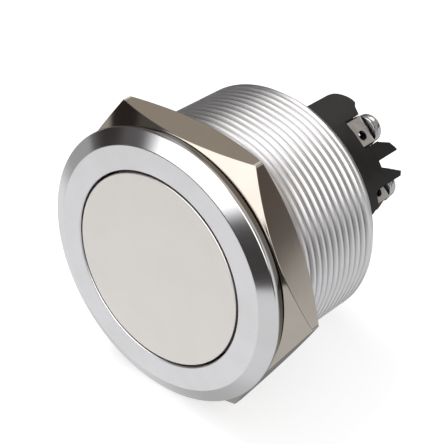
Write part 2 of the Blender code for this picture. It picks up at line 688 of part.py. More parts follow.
def contact_base():
    """Moulded base: a round plug with chambers, and a block with barriers for the terminals."""
    groove = BASE_SEAL_RADIUS + FIT_GAP
    base = turned("contact_base", [
        (0, BLOCK_TOP - CUT_MARGIN / 2),
        (BASE_RADIUS, BLOCK_TOP - CUT_MARGIN / 2),
        (BASE_RADIUS, BASE_SEAL_DEPTH + groove),
        (BASE_GROOVE_RADIUS, BASE_SEAL_DEPTH + groove),
        (BASE_GROOVE_RADIUS, BASE_SEAL_DEPTH - groove),
        (BASE_RADIUS, BASE_SEAL_DEPTH - groove),
        (BASE_RADIUS, RIM_FRONT),
        (SKIRT_RADIUS, RIM_FRONT),
        (SKIRT_RADIUS, BASE_FRONT),
        (RECESS_RADIUS, BASE_FRONT),
        (RECESS_RADIUS, RECESS_END),
        (0, RECESS_END),
    ], ring=False)
    hub_out = HUB_LENGTH + FIT_GAP
    hub_across = HUB_WIDTH + FIT_GAP
    middle = MIDDLE_HALF_LENGTH + FIT_GAP
    width = BLOCK_HALF_WIDTH + CUT_MARGIN
    opening = BASE_FRONT - CUT_MARGIN
    cutters = [
        box("hub_shaft", (-hub_out, -hub_across, opening), (hub_out, hub_across, CHAMBER_END)),
        box(
            "middle_cut",
            (-middle, -width, PEDESTAL - MIDDLE_STEP),
            (middle, width, BLOCK_TOP + CUT_MARGIN),
        ),
        rod("guide_hole", GUIDE_RADIUS + FIT_GAP, CHAMBER_END - CUT_MARGIN, GUIDE_HOLE_END),
        rod("stem_hole", STEM_RADIUS + FIT_GAP, opening, STEM_HOLE_END),
    ]
    arm_rear = NO_STRIP_FRONT + STRIP_THICKNESS + FIT_GAP
    cutters += half_cutters(NO_STRIP_FRONT - FIT_GAP, arm_rear)
    nc_rear = NC_STRIP_FRONT + STRIP_THICKNESS + FIT_GAP
    second = half_cutters(opening, nc_rear)
    for cutter in second:
        cutter.data.transform(Matrix.Rotation(pi, 4, "Z"))
    return combine(base, cutters + second, "DIFFERENCE")


def contact_carrier():
    """Slider with a hub, two arms with windows for the bridges, and a guide pin."""
    low = ARM_ACROSS - ARM_WIDTH / 2
    high = ARM_ACROSS + ARM_WIDTH / 2
    hub = box(
        "contact_carrier",
        (-HUB_LENGTH, -HUB_WIDTH, CARRIER_FRONT),
        (HUB_LENGTH, HUB_WIDTH, CARRIER_REAR),
    )
    arms = [
        box("no_arm", (0, low, CARRIER_FRONT), (ARM_END, high, CARRIER_REAR)),
        box("nc_arm", (-ARM_END, -high, CARRIER_FRONT), (0, -low, CARRIER_REAR)),
        rod("guide_pin", GUIDE_RADIUS, CARRIER_REAR - HUB_WALL, GUIDE_END),
    ]
    carrier = combine(hub, arms, "UNION")
    socket_end = STEM_REAR + SPIGOT_LENGTH + FIT_GAP
    side = HUB_WIDTH + CUT_MARGIN
    cuts = [
        rod("socket", SOCKET_RADIUS, CARRIER_FRONT - CUT_MARGIN, socket_end),
        box("no_window", (WINDOW_START, -side, WINDOW_FRONT), (WINDOW_END, side, WINDOW_REAR)),
        box("nc_window", (-WINDOW_END, -side, WINDOW_FRONT), (-WINDOW_START, side, WINDOW_REAR)),
    ]
    return combine(carrier, cuts, "DIFFERENCE")


def bridge(name, front, rivets_behind):
    """Moving contact bridge with a rivet at each end."""
    rear = front + BRIDGE_THICKNESS
    strip = box(
        name,
        (BRIDGE_OUT - BRIDGE_WIDTH / 2, FAR_ACROSS - BRIDGE_OVERHANG, front),
        (BRIDGE_OUT + BRIDGE_WIDTH / 2, NEAR_ACROSS + BRIDGE_OVERHANG, rear),
    )
    middle = (front + rear) / 2
    ends = (middle, rear + RIVET_HEIGHT) if rivets_behind else (front - RIVET_HEIGHT, middle)
    rivets = [
        rod(name + "_rivet", RIVET_RADIUS, *ends, BRIDGE_OUT, across, steps=12)
        for across in (FAR_ACROSS, NEAR_ACROSS)
    ]
    return combine(strip, rivets, "UNION")


def bent_outline(path, thickness, bend):
    """Outline of a bent strip: its middle line follows a path of straight runs."""
    points = [Vector(point) for point in path]
    runs = [(b - a).normalized() for a, b in zip(points, points[1:])]
    radius = bend + thickness / 2
    stations = [(points[0], runs[0])]
    for corner, before, after in zip(points[1:], runs, runs[1:]):
        turn = atan2(before.x * after.y - before.y * after.x, before.dot(after))
        side = 1 if turn > 0 else -1
        start = corner - before * radius * tan(abs(turn) / 2)
        centre = start + Vector((-before.y, before.x)) * side * radius
        for i in range(4):
            spin = Matrix.Rotation(turn * i / 3, 2)
            stations.append((centre + spin @ (start - centre), spin @ before))
    stations.append((points[-1], runs[-1]))
    half = thickness / 2
    left = [(p.x - d.y * half, p.y + d.x * half) for p, d in stations]
    right = [(p.x + d.y * half, p.y - d.x * half) for p, d in stations]
    return left + right[::-1]


def terminal(name, riser, across, arm_front, rivet_behind):
    """Bent terminal strip: contact arm, riser, screw plate and apron, with its holes."""
    half = STRIP_THICKNESS / 2
    arm = arm_front + half
    plate_depth = PLATE_FRONT + half
    apron = riser + RISER_TO_APRON + half
    path = [(STRIP_TIP, arm), (riser + half, arm), (riser + half, plate_depth)]
    path += [(apron, plate_depth), (apron, DECK + FIT_GAP)]
    outline = bent_outline(path, STRIP_THICKNESS, STRIP_BEND)
    strip = plate(name, outline, STRIP_WIDTH, SIDE_VIEW, (0, across, 0))
    ends = (arm, arm + half + RIVET_HEIGHT) if rivet_behind else (arm - half - RIVET_HEIGHT, arm)
    rivet = rod(name + "_rivet", RIVET_RADIUS, *ends, BRIDGE_OUT, across, steps=12)
    strip = combine(strip, [rivet], "UNION")
    hole = SHANK_RADIUS + FIT_GAP
    front = PLATE_FRONT - CUT_MARGIN
    rear = PLATE_REAR + CUT_MARGIN
    screw_hole = rod("screw_hole", hole, front, rear, riser + RISER_TO_SCREW, across, steps=16)
    apron_hole = rod("apron_hole", APRON_HOLE_RADIUS, -CUT_MARGIN, CUT_MARGIN, steps=12)
    place = Matrix.Translation((apron, across + APRON_HOLE_OFFSET, DECK + APRON_HOLE_HEIGHT))
    apron_hole.data.transform(place @ Matrix.Rotation(pi / 2, 4, "Y"))
    return combine(strip, [screw_hole, apron_hole], "DIFFERENCE")


def terminal_screw(name):
    """Slotted pan head screw."""
    low = HEAD_FRONT + HEAD_SIDE
    dome = HEAD_HEIGHT - HEAD_SIDE
    tip = PLATE_FRONT - SHANK_BELOW_PLATE
    crown = [(HEAD_RADIUS * sin(a), low + dome * cos(a)) for a in (radians(30), radians(60))]
    screw = turned(name, [
        (0, HEAD_REAR),
        *crown,
        (HEAD_RADIUS, low),
        (HEAD_RADIUS, HEAD_FRONT),
        (SHANK_RADIUS, HEAD_FRONT),
        (SHANK_RADIUS, tip + FIT_GAP),
        (SHANK_RADIUS - FIT_GAP, tip),
        (0, tip),
    ], steps=SMALL_STEPS, ring=False)
    slot = box(
        "screw_slot",
        (-HEAD_RADIUS - CUT_MARGIN, -SLOT_WIDTH / 2, HEAD_REAR - SLOT_DEPTH),
        (HEAD_RADIUS + CUT_MARGIN, SLOT_WIDTH / 2, HEAD_REAR + CUT_MARGIN),
    )
    return combine(screw, [slot], "DIFFERENCE")


def terminal_washer(name):
    """Plain washer under a terminal screw's head."""
    hole = SHANK_RADIUS + FIT_GAP
    rear = WASHER_FRONT + WASHER_THICKNESS
    return turned(name, [
        (hole, rear),
        (WASHER_RADIUS, rear),
        (WASHER_RADIUS, WASHER_FRONT),
        (hole, WASHER_FRONT),
    ], steps=SMALL_STEPS)


def build_front(axis, slide):
    """Housing, nut and seals, and the button with its stem."""
    finish(bezel_housing(), axis, BRUSHED_METAL)
    finish(panel_seal_ring(), axis, RUBBER)
    finish(hex_nut(), axis, NICKEL)
    finish(round_seal("base_seal_ring", LIP_BORE, BASE_SEAL_RADIUS, BASE_SEAL_DEPTH), axis, RUBBER)
    spring = coil(
        "return_spring",
        SPRING_RADIUS,
        SPRING_WIRE,
        CAP_TOP + FIT_GAP,
        WEB_FRONT - FIT_GAP,
        SPRING_TURNS,
        SPRING_POINTS,
    )
    finish(spring, axis, STEEL)
    seal = round_seal("button_seal_ring", FRONT_BORE, BUTTON_SEAL_RADIUS, BUTTON_SEAL_DEPTH)
    finish(button_cap(), slide, BUTTON_METAL)
    finish(seal, slide, RUBBER)
    finish(button_stem(), slide, STEEL)
    finish(stem_clip(), slide, STEEL)


def contact_spring(name, front, rear):
    """Spring that presses a bridge in the carrier's window."""
    return coil(
        name,
        CONTACT_SPRING_RADIUS,
        CONTACT_SPRING_WIRE,
        front,
        rear,
        CONTACT_SPRING_TURNS,
        CONTACT_SPRING_POINTS,
        BRIDGE_OUT,
        ARM_ACROSS,
    )


def build_contacts(slide):
    """Carrier, bridges and contact springs, which move with the button."""
    turn = BLOCK_ANGLE - pi / 2
    first = add_empty("carrier_frame", slide, rotation=(0, 0, turn))
    second = add_empty("carrier_second_half", first, rotation=(0, 0, pi))
    finish(contact_carrier(), first, GREY_PLASTIC)
    finish(bridge("no_bridge", NO_BRIDGE_FRONT, True), first, BRASS)
    finish(bridge("nc_bridge", NC_BRIDGE_FRONT, False), second, BRASS)
    no_spring = contact_spring(
        "no_contact_spring", WINDOW_FRONT + FIT_GAP, NO_BRIDGE_FRONT - FIT_GAP
    )
    nc_spring = contact_spring(
        "nc_contact_spring",
        NC_BRIDGE_FRONT + BRIDGE_THICKNESS + FIT_GAP,
        WINDOW_REAR - FIT_GAP,
    )
    finish(no_spring, first, STEEL)
    finish(nc_spring, second, STEEL)


def build_block(axis):
    """Base, terminals, screws and washers."""
    turn = BLOCK_ANGLE - pi / 2
    first = add_empty("block_frame", axis, rotation=(0, 0, turn))
    second = add_empty("block_second_half", first, rotation=(0, 0, pi))
    finish(contact_base(), first, BLACK_PLASTIC)
    halves = [("no", first, NO_STRIP_FRONT, False), ("nc", second, NC_STRIP_FRONT, True)]
    rows = [(FAR_RISER, FAR_ACROSS), (NEAR_RISER, NEAR_ACROSS)]
    number = 0
    for kind, frame, arm_front, rivet_behind in halves:
        for place, (riser, across) in enumerate(rows, 1):
            number += 1
            strip = terminal(f"terminal_{kind}_{place}", riser, across, arm_front, rivet_behind)
            finish(strip, frame, BRASS)
            spot = (riser + RISER_TO_SCREW, across, 0)
            finish(terminal_screw(f"terminal_screw_{number}"), frame, STEEL, spot)
            finish(terminal_washer(f"terminal_washer_{number}"), frame, STEEL, spot)


def build_switch():
    """Builds the whole switch on its axis."""
    axis = add_empty(
        "switch_axis", location=(0, -FLANGE_THICKNESS, 0), rotation=(-pi / 2, 0, 0)
    )
    slide = add_empty("button_slide", axis)
    build_front(axis, slide)
    build_contacts(slide)
    build_block(axis)


clear_scene()
PARTS = new_collection("pushbutton_switch")
build_switch()
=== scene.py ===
"""Looks of a flush metal pushbutton switch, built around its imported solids.

Metres, in the frame of the solids: the switch's axis is Y, the button faces -Y and the origin lies on
the axis, where the flange meets a panel. A depth is measured from the bezel's front face rearward.
"""

from math import cos, pi, radians, sin, tan

import bmesh
import bpy
from mathutils import Euler, Matrix, Vector


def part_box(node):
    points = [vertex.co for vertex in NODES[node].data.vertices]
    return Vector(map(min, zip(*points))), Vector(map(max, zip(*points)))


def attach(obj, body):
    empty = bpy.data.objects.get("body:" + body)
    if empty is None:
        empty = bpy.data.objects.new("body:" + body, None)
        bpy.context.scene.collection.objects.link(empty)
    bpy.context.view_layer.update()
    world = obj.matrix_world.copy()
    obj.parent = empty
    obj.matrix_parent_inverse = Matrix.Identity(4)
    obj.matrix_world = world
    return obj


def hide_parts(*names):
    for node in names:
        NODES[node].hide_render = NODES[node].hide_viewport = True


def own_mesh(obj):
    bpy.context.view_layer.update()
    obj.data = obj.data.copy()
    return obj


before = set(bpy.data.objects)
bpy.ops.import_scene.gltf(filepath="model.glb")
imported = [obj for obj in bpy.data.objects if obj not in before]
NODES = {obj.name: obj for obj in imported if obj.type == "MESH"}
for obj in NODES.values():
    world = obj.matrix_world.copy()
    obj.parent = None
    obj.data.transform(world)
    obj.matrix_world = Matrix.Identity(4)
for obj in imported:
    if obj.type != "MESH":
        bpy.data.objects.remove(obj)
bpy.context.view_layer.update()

# Housing: bezel flange, barrel and inner web
FLANGE_THICKNESS = 0.0030
FLANGE_RADIUS = 0.022495
FLANGE_SIDE_END = 0.0015
FLANGE_REAR_RADIUS = 0.0220
BEZEL_CHAMFER_WIDTH = 0.00245
BEZEL_CHAMFER_DEPTH = 0.00115
FRONT_BORE = 0.016095
BORE_EDGE = 0.00015
WEB_FRONT = 0.0086
WEB_REAR = 0.0106
WEB_HOLE = 0.0051
REAR_BORE = 0.017195
SHOULDER = 0.0215
LIP_BORE = 0.018245
BARREL_END = 0.0289
END_CHAMFER_DEPTH = 0.00095
RELIEF_RADIUS = 0.018995
RELIEF_END = 0.0040
PANEL_GROOVE_INSIDE = 0.020345
PANEL_GROOVE_OUTSIDE = 0.021845
PANEL_GROOVE_BOTTOM = 0.0022
HOUSING_EDGE = 0.00013
HOUSING_SMOOTH_ANGLE = radians(24)
HOUSING_MERGE = 0.000003

# Thread of the barrel; one groove crosses the given angle about the axis at the given depth
THREAD_RADIUS = 0.019895
THREAD_PITCH = 0.001355
THREAD_DEPTH = 0.00042
THREAD_START = 0.0049
THREAD_END = 0.0275
THREAD_LEAD_IN = 0.0006
THREAD_LEAD_OUT = 0.0009
GROOVE_ANGLE = radians(60)
GROOVE_PLACE = 0.009555

# Half of a groove's floor and half of its mouth, as shares of the pitch
GROOVE_FLOOR = 1 / 12
GROOVE_MOUTH = 4 / 12

# Columns of the housing about the axis, and rows across one pitch of its thread
COLUMNS = 144
ROWS_PER_PITCH = 12

# Button cap
CAP_RADIUS = 0.015745
CAP_EDGE = 0.00022
CAP_DEPTH = 0.0056
CAP_TOP = 0.0015
CAP_INSIDE = 0.013195
CAP_GROOVE_RADIUS = 0.014295
CAP_GROOVE_FRONT = 0.0026
CAP_GROOVE_REAR = 0.0044
BOSS_RADIUS = 0.0048
BOSS_DEPTH = 0.0040
PIN_SOCKET = 0.0029
PIN_SOCKET_END = 0.0019
CAP_COLUMNS = 128

# Panel nut; it leans a little in its thread, away from the flange on one side
NUT_FRONT = 0.00338
NUT_REAR = 0.00912
NUT_HALF_FLATS = 0.021995
NUT_FACE_RADIUS = 0.021695
NUT_CORNER_ROUND = 0.00025
NUT_EDGE_ROUND = 0.00006
NUT_EDGE_HOLD = 0.00003
NUT_CHAMFER_SLOPE = tan(radians(30))
NUT_LEAN = tan(radians(0.55))
NUT_LEAN_SIDE = radians(-30)
NUT_BORE = 0.020195
NUT_BORE_EDGE = 0.0007
NUT_SMOOTH_ANGLE = radians(20)

# Columns of the nut, as degrees from a corner: close ones first, then even steps to a flat's middle
NUT_NEAR_CORNER = [0.0, 0.12, 0.24, 0.36, 0.5, 0.7, 1.0]
NUT_HALF_SIDE = 30.0
NUT_SIDE_STEPS = 16

# Rubber seals
SEAL_GAP = 0.0003
PANEL_SEAL_FRONT = 0.0025
PANEL_SEAL_REAR = 0.00312
PANEL_SEAL_EDGE = 0.0002
PANEL_SEAL_COLUMNS = 120
BUTTON_SEAL_SECTION = 0.0006
BUTTON_SEAL_DEPTH = 0.0035
BASE_SEAL_SECTION = 0.00045
BASE_SEAL_DEPTH = 0.0248
RING_POINTS = 16
RING_COLUMNS = 96

# Return spring; closed turns lie a little more than a wire apart
SPRING_RADIUS = 0.008997
SPRING_WIRE = 0.0009
SPRING_FRONT = 0.0018
SPRING_REAR = 0.0083
SPRING_TURNS = 4.0
SPRING_DEAD_TURNS = 1.0
SPRING_CLOSED_PITCH = 1.15
SPRING_POINTS_PER_TURN = 40.0
SPRING_WIRE_POINTS = 12

# Terminal screws; angles of the head's curve from its top, and each screw's turn, are in degrees
HEAD_RADIUS = 0.00235
HEAD_HEIGHT = 0.0018
HEAD_SIDE = 0.0009
HEAD_ANGLES = (20, 40, 60, 78)
SLOT_WIDTH = 0.0006
SLOT_DEPTH = 0.0008
SLOT_CUTTER_HEIGHT = 0.002
SHANK_RADIUS = 0.00105
SHANK_LENGTH = 0.0029
SHANK_TIP = 0.0003
SCREW_EDGE = 0.00015
SLOT_EDGE = 0.00006
SLOT_EDGE_ANGLE = radians(40)
SCREW_COLUMNS = 48
SCREW_SMOOTH_ANGLE = radians(35)
SCREW_TURNS = (35, 110, 62, 150)

# Meshes in general; a rounded corner takes at most a share of the sides next to it, and a stretch is
# held flat only if it is several margins long
MERGE = 0.0000015
SMOOTH_ANGLE = radians(32)
FLAT_FACE_WEIGHT = 100
EASE_LIMIT = 0.45
HOLD_LEAST = 4
BEVEL_SEGMENTS = 2

# Copies of solids with rounded edges
COPY_MERGE = 0.000002
COPY_FLAT_ANGLE = radians(1.0)
COPY_EDGE_ANGLE = radians(30)
COPY_SMOOTH_ANGLE = radians(40)

# Turned metal: where parts of the housing begin, as a radius or a place along the axis, from and to;
# the thread's floor and the lip behind the flange take painted shade
PAINTED_THREAD_SHADE_RADIUS = (THREAD_RADIUS - 0.00040, THREAD_RADIUS - 0.00012)
BARREL_OUTSIDE = (0.0192, 0.0193)
BEHIND_FLANGE = (0.001, 0.002)
PAINTED_GAP_SHADE_RADIUS = (0.0217, 0.0218)
PAINTED_GAP_SHADE_DEPTH = (-0.0016, -0.0009)
PANEL_SIDE = (-0.00022, -0.00012)
CHAMFER_RADIUS = (0.02002, 0.02008)

# Painted shade: tone of the thread's floor as a share of the colour, and colour of the painted dark gap
# on the lip behind the flange
PAINTED_THREAD_SHADE_TONE = 0.55
PAINTED_GAP_SHADE_COLOUR = (0.105, 0.092, 0.075)

# Noise of the finishes: cells per metre, detail and roughness; a stretched kind has one cell per unit
# and densities of its own, across and along the axis
LATHE_LINES = (1.0, 3.0, 0.7)
LATHE_DENSITY = 9000
METAL_CLOUDS = (180.0, 3.0, 0.5)
METAL_GRAIN = (5200.0, 2.0, 0.6)
NUT_CLOUDS = (150.0, 3.0, 0.55)
NUT_MARKS = (1.0, 3.0, 0.6)
NUT_MARK_DENSITY = (500, 7000)
STRIP_CLOUDS = (500.0, 2.0, 0.5)
STRIP_MARKS = (1.0, 2.0, 0.6)
STRIP_MARK_DENSITY = (6000, 900)
STEEL_GRAIN = (3200.0, 2.0, 0.6)
STEEL_CLOUDS = (420.0, 2.0, 0.5)
PLASTIC_CLOUDS = (260.0, 3.0, 0.6)
PLASTIC_SKIN = (4200.0, 3.0, 0.65)
RUBBER_BLOOM = (900.0, 3.0, 0.6)

# Noise levels between which a finish goes over to its second tone
METAL_TONES = (0.35, 0.7)
NUT_TONES = (0.3, 0.75)
STRIP_TONES = (0.35, 0.7)
STEEL_TONES = (0.4, 0.75)
PLASTIC_TONES = (0.4, 0.7)
RUBBER_TONES = (0.5, 0.8)

# Second tone of plain metals as a share of the colour
STRIP_DULL = 0.82
STEEL_DULL = 0.8

# How much the noise changes the roughness
METAL_GRAIN_SWING = 0.10
METAL_LINE_SWING = 0.08
NUT_CLOUD_SWING = 0.05
NUT_MARK_SWING = 0.03
STRIP_SWING = 0.16
STEEL_SWING = 0.12
PLASTIC_SWING = 0.14
RUBBER_SWING = 0.2

# Specular level of the mouldings
PLASTIC_GLOSS = 0.22

# Height of the finest marks; in turned metal, the share of lathe lines in them and how far a cut face
# is free of them
NUT_MARK_HEIGHT = 0.0000015
STRIP_MARK_HEIGHT = 0.000004
STEEL_GRAIN_HEIGHT = 0.000003
RUBBER_HEIGHT = 0.00001
LINE_SHARE = 0.6
CUT_POLISH = 0.85

# Floor: it only glows for the camera, and the nut stands on it just before its rear face
FLOOR_TILT = radians(6.44)
FLOOR_SIZE = 4.0
FLOOR_COLOUR = (0.5, 0.5, 0.5)
FLOOR_ROUGHNESS = 0.9
FLOOR_GLOW = 0.67
FLOOR_TOUCH = 0.0002

# Camera and lamp
CAMERA_PLACE = (0.112532, -0.128152, 0.124320)
CAMERA_TURN = (radians(55.6314), radians(-3.6342), radians(41.2704))
CAMERA_LENS = 113.5135
CAMERA_SENSOR = 36
CAMERA_CLIP = 0.005
KEY_PLACE = (-0.45, 0.10, 0.60)
KEY_TARGET = (0, 0.01, 0)
KEY_SIZE = 0.45
KEY_POWER = 3.0

# What shiny surfaces see about the switch: colours as linear red, green and blue
TABLE = (0.86, 0.86, 0.86)
ROOM = (0.055, 0.050, 0.048)
WINDOW = (2.3, 2.3, 2.3)
BACK_WALL = (0.53, 0.485, 0.43)

# Light that dull surfaces get evenly from all sides, and what the camera sees about the switch
WORLD_LEVEL = 0.75
BACKDROP = (1, 1, 1)

# Borders of that surrounding, as shares of the way towards the rear or straight up
WINDOW_TO_WALL = (-0.45, 0.30)
ROOM_TOP = (0.12, 0.22)
ROOM_REAR = (0.2, 0.6)
TABLE_EDGE = (-0.096, -0.072)
TABLE_RISE = 0.18

# Cards of that surrounding: direction, width and soft edge in degrees, and colour; the first ones
# stand above the table and the others lie on it
STANDING_CARDS = [
    ((-0.96, -0.10, 0.25), 38, 12, (0.125, 0.120, 0.117)),
    ((-0.90, -0.43, 0.03), 7, 5, (0.040, 0.034, 0.032)),
    ((-0.965, -0.25, -0.09), 4, 4, (0.62, 0.60, 0.57)),
    ((-0.82, 0.56, 0.02), 20, 12, (0.07, 0.066, 0.064)),
    ((0.63, 0.757, 0.19), 12, 1.5, (0.16, 0.135, 0.125)),
    ((-0.05, 0.40, 0.90), 18, 8, (2.4, 2.4, 2.4)),
]
TABLE_CARDS = [
    ((-0.60, -0.45, -0.66), 22, 18, (1.06, 1.06, 1.06)),
    ((-0.93, -0.28, -0.22), 8, 16, (0.46, 0.455, 0.45)),
    ((-0.10, 0.00, -1.00), 8, 26, (0.56, 0.56, 0.56)),
    ((-0.28, 0.64, -0.71), 18, 14, (0.22, 0.215, 0.21)),
    ((-0.80, 0.58, -0.15), 12, 14, (0.20, 0.19, 0.18)),
]


class Value:
    """A socket of a node tree that Python's operators work on."""

    def __init__(self, tree, socket):
        self.tree = tree
        self.socket = socket

    def __add__(self, other):
        return self.tree.maths("ADD", self, other)

    __radd__ = __add__

    def __sub__(self, other):
        return self.tree.maths("SUBTRACT", self, other)

    def __rsub__(self, other):
        return self.tree.maths("SUBTRACT", other, self)

    def __mul__(self, other):
        return self.tree.maths("MULTIPLY", self, other)

    __rmul__ = __mul__

    def __truediv__(self, other):
        return self.tree.maths("DIVIDE", self, other)

    def __rtruediv__(self, other):
        return self.tree.maths("DIVIDE", other, self)

    def least(self, other):
        return self.tree.maths("MINIMUM", self, other)

    def most(self, other):
        return self.tree.maths("MAXIMUM", self, other)

    def step(self, low, high, to=(0.0, 1.0)):
        """Goes smoothly from one number to another between two values of the socket."""
        sizes = {"Value": self, "From Min": low, "From Max": high, "To Min": to[0], "To Max": to[1]}
        return self.tree.node("ShaderNodeMapRange", {"interpolation_type": "SMOOTHSTEP"}, sizes)

    def beside(self, name):
        """Another output of the same node."""
        return Value(self.tree, self.socket.node.outputs[name])


class Tree:
    """A node tree whose nodes are all added by one method."""

    def __init__(self, tree):
        self.tree = tree
        tree.nodes.clear()

    def node(self, kind, settings=None, inputs=None, output=0):
        """Adds a node and returns an output: settings come first, then values or links.

        A list links several values to one socket, in its order.
        """
        node = self.tree.nodes.new(kind)
        for name, value in (settings or {}).items():
            setattr(node, name, value)
        for name, value in (inputs or {}).items():
            for part in value if isinstance(value, list) else [value]:
                if isinstance(part, Value):
                    self.tree.links.new(part.socket, node.inputs[name])
                else:
                    node.inputs[name].default_value = part
        return Value(self, node.outputs[output]) if node.outputs else None

    def maths(self, operation, *values):
        return self.node("ShaderNodeMath", {"operation": operation}, dict(enumerate(values)))

    def blend(self, share, first, second):
        """Mixes two colours."""
        settings = {"data_type": "RGBA", "clamp_factor": True}
        return self.node("ShaderNodeMix", settings, {0: share, 6: first, 7: second}, 2)

    def vector(self, x, y, z):
        return self.node("ShaderNodeCombineXYZ", None, {"X": x, "Y": y, "Z": z})

    def noise(self, place, kind):
        """Noise of one of the kinds above."""
        scale, detail, roughness = kind
        inputs = {"Vector": place, "Scale": scale, "Detail": detail, "Roughness": roughness}
        return self.node("ShaderNodeTexNoise", None, inputs)

    def point(self):
        """Object coordinates."""
        return self.node("ShaderNodeTexCoord", None, None, "Object")

    def parts(self, point):
        """The three parts of a point."""
        x = self.node("ShaderNodeSeparateXYZ", None, {"Vector": point})
        return x, x.beside("Y"), x.beside("Z")

    def stretched(self, point, density):
        """A point with densities across and along the switch's axis, for noise in long marks."""
        x, y, z = self.parts(point)
        across, along = density
        return self.vector(x * across, y * along, z * across)


def new_finish(name, colour, metallic, roughness):
    """A material with a principled shader: returns its tree, the shader's node and the material."""
    material = bpy.data.materials.new(name)
    material.use_nodes = True
    tree = Tree(material.node_tree)
    inputs = {"Base Color": (*colour, 1), "Metallic": metallic, "Roughness": roughness}
    surface = tree.node("ShaderNodeBsdfPrincipled", None, inputs)
    tree.node("ShaderNodeOutputMaterial", None, {"Surface": surface})
    return tree, surface.socket.node, material


def feed(tree, shader, name, value):
    """Links a value to one of a shader's sockets."""
    tree.tree.links.new(value.socket, shader.inputs[name])


def add_bump(tree, shader, height, distance):
    """Raises a surface by a height value, in metres at a height of one."""
    bump = tree.node("ShaderNodeBump", None, {"Height": height, "Distance": distance})
    feed(tree, shader, "Normal", bump)


def two_tone(tree, noise, levels, colour, tint):
    """A colour that goes over to a second tone where a noise is high."""
    return tree.blend(noise.step(*levels), (*colour, 1), (*tint, 1))


def duller(colour, share):
    """A colour at a share of its strength."""
    return tuple(part * share for part in colour)


def turned_metal(name, colour, tint, face_roughness, cut_roughness, mark_height):
    """Lathe-turned metal: satin faces with fine rings about the axis and a brighter cut chamfer.

    The floor of the thread and the lip behind the flange are darkened by painted shade.
    """
    tree, shader, material = new_finish(name, colour, 1.0, face_roughness)
    point = tree.point()
    x, y, z = tree.parts(point)
    radius = tree.maths("SQRT", x * x + z * z)
    lines = tree.noise(tree.vector(radius * LATHE_DENSITY, y * LATHE_DENSITY, 0.0), LATHE_LINES)
    clouds = tree.noise(point, METAL_CLOUDS)
    grain = tree.noise(point, METAL_GRAIN)
    tone = two_tone(tree, clouds, METAL_TONES, colour, tint)
    outside = radius.step(*BARREL_OUTSIDE) * y.step(*BEHIND_FLANGE)
    # Painted shade: the floor of the thread is darkened in the colour, as shade in the grooves
    floor = (1.0 - radius.step(*PAINTED_THREAD_SHADE_RADIUS)) * outside
    tone = tree.blend(floor, tone, (*duller(colour, PAINTED_THREAD_SHADE_TONE), 1))
    # Painted shade: the lip behind the flange darkens towards the nut, painting the dark gap between
    # flange and nut
    gap_shade = radius.step(*PAINTED_GAP_SHADE_RADIUS) * y.step(*PAINTED_GAP_SHADE_DEPTH)
    feed(tree, shader, "Base Color", tree.blend(gap_shade, tone, (*PAINTED_GAP_SHADE_COLOUR, 1)))
    cut = radius.step(*CHAMFER_RADIUS) * (1.0 - y.step(*PANEL_SIDE))
    rough = face_roughness + (grain - 0.5) * METAL_GRAIN_SWING + (lines - 0.5) * METAL_LINE_SWING
    feed(tree, shader, "Roughness", rough * (1.0 - cut) + cut * cut_roughness)
    marks = (lines * LINE_SHARE + grain * (1 - LINE_SHARE)) * (1.0 - cut * CUT_POLISH)
    add_bump(tree, shader, marks, mark_height)
    return material


def nickel_plating(name, colour, tint, roughness):
    """Warm nickel plating of the panel nut, smooth, with faint marks round its sides."""
    tree, shader, material = new_finish(name, colour, 1.0, roughness)
    point = tree.point()
    clouds = tree.noise(point, NUT_CLOUDS)
    feed(tree, shader, "Base Color", two_tone(tree, clouds, NUT_TONES, colour, tint))
    marks = tree.noise(tree.stretched(point, NUT_MARK_DENSITY), NUT_MARKS)
    rough = roughness + clouds * NUT_CLOUD_SWING + marks * NUT_MARK_SWING
    feed(tree, shader, "Roughness", rough)
    add_bump(tree, shader, marks, NUT_MARK_HEIGHT)
    return material


def plated_strip(name, colour, roughness):
    """Plated contact strip with fine rolling marks along the sheet."""
    tree, shader, material = new_finish(name, colour, 1.0, roughness)
    point = tree.point()
    clouds = tree.noise(point, STRIP_CLOUDS)
    tone = two_tone(tree, clouds, STRIP_TONES, colour, duller(colour, STRIP_DULL))
    feed(tree, shader, "Base Color", tone)
    marks = tree.noise(tree.stretched(point, STRIP_MARK_DENSITY), STRIP_MARKS)
    feed(tree, shader, "Roughness", roughness + (marks - 0.5) * STRIP_SWING)
    add_bump(tree, shader, marks, STRIP_MARK_HEIGHT)
    return material


def bright_steel(name, colour, roughness):
    """Bright plated steel of screws, springs and the stem."""
    tree, shader, material = new_finish(name, colour, 1.0, roughness)
    point = tree.point()
    grain = tree.noise(point, STEEL_GRAIN)
    clouds = tree.noise(point, STEEL_CLOUDS)
    tone = two_tone(tree, clouds, STEEL_TONES, colour, duller(colour, STEEL_DULL))
    feed(tree, shader, "Base Color", tone)
    feed(tree, shader, "Roughness", roughness + (grain - 0.5) * STEEL_SWING)
    add_bump(tree, shader, grain, STEEL_GRAIN_HEIGHT)
    return material


def moulded_plastic(name, colour, tint, roughness, grain_height):
    """Moulded plastic: a fine eroded skin, slightly lighter in patches."""
    tree, shader, material = new_finish(name, colour, 0.0, roughness)
    shader.inputs["Specular IOR Level"].default_value = PLASTIC_GLOSS
    point = tree.point()
    clouds = tree.noise(point, PLASTIC_CLOUDS)
    feed(tree, shader, "Base Color", two_tone(tree, clouds, PLASTIC_TONES, colour, tint))
    feed(tree, shader, "Roughness", roughness + (clouds - 0.5) * PLASTIC_SWING)
    add_bump(tree, shader, tree.noise(point, PLASTIC_SKIN), grain_height)
    return material


def seal_rubber(name, colour, bloom_colour, roughness):
    """Dull black seal rubber with a paler bloom."""
    tree, shader, material = new_finish(name, colour, 0.0, roughness)
    bloom = tree.noise(tree.point(), RUBBER_BLOOM)
    feed(tree, shader, "Base Color", two_tone(tree, bloom, RUBBER_TONES, colour, bloom_colour))
    feed(tree, shader, "Roughness", roughness + bloom * RUBBER_SWING)
    add_bump(tree, shader, bloom, RUBBER_HEIGHT)
    return material


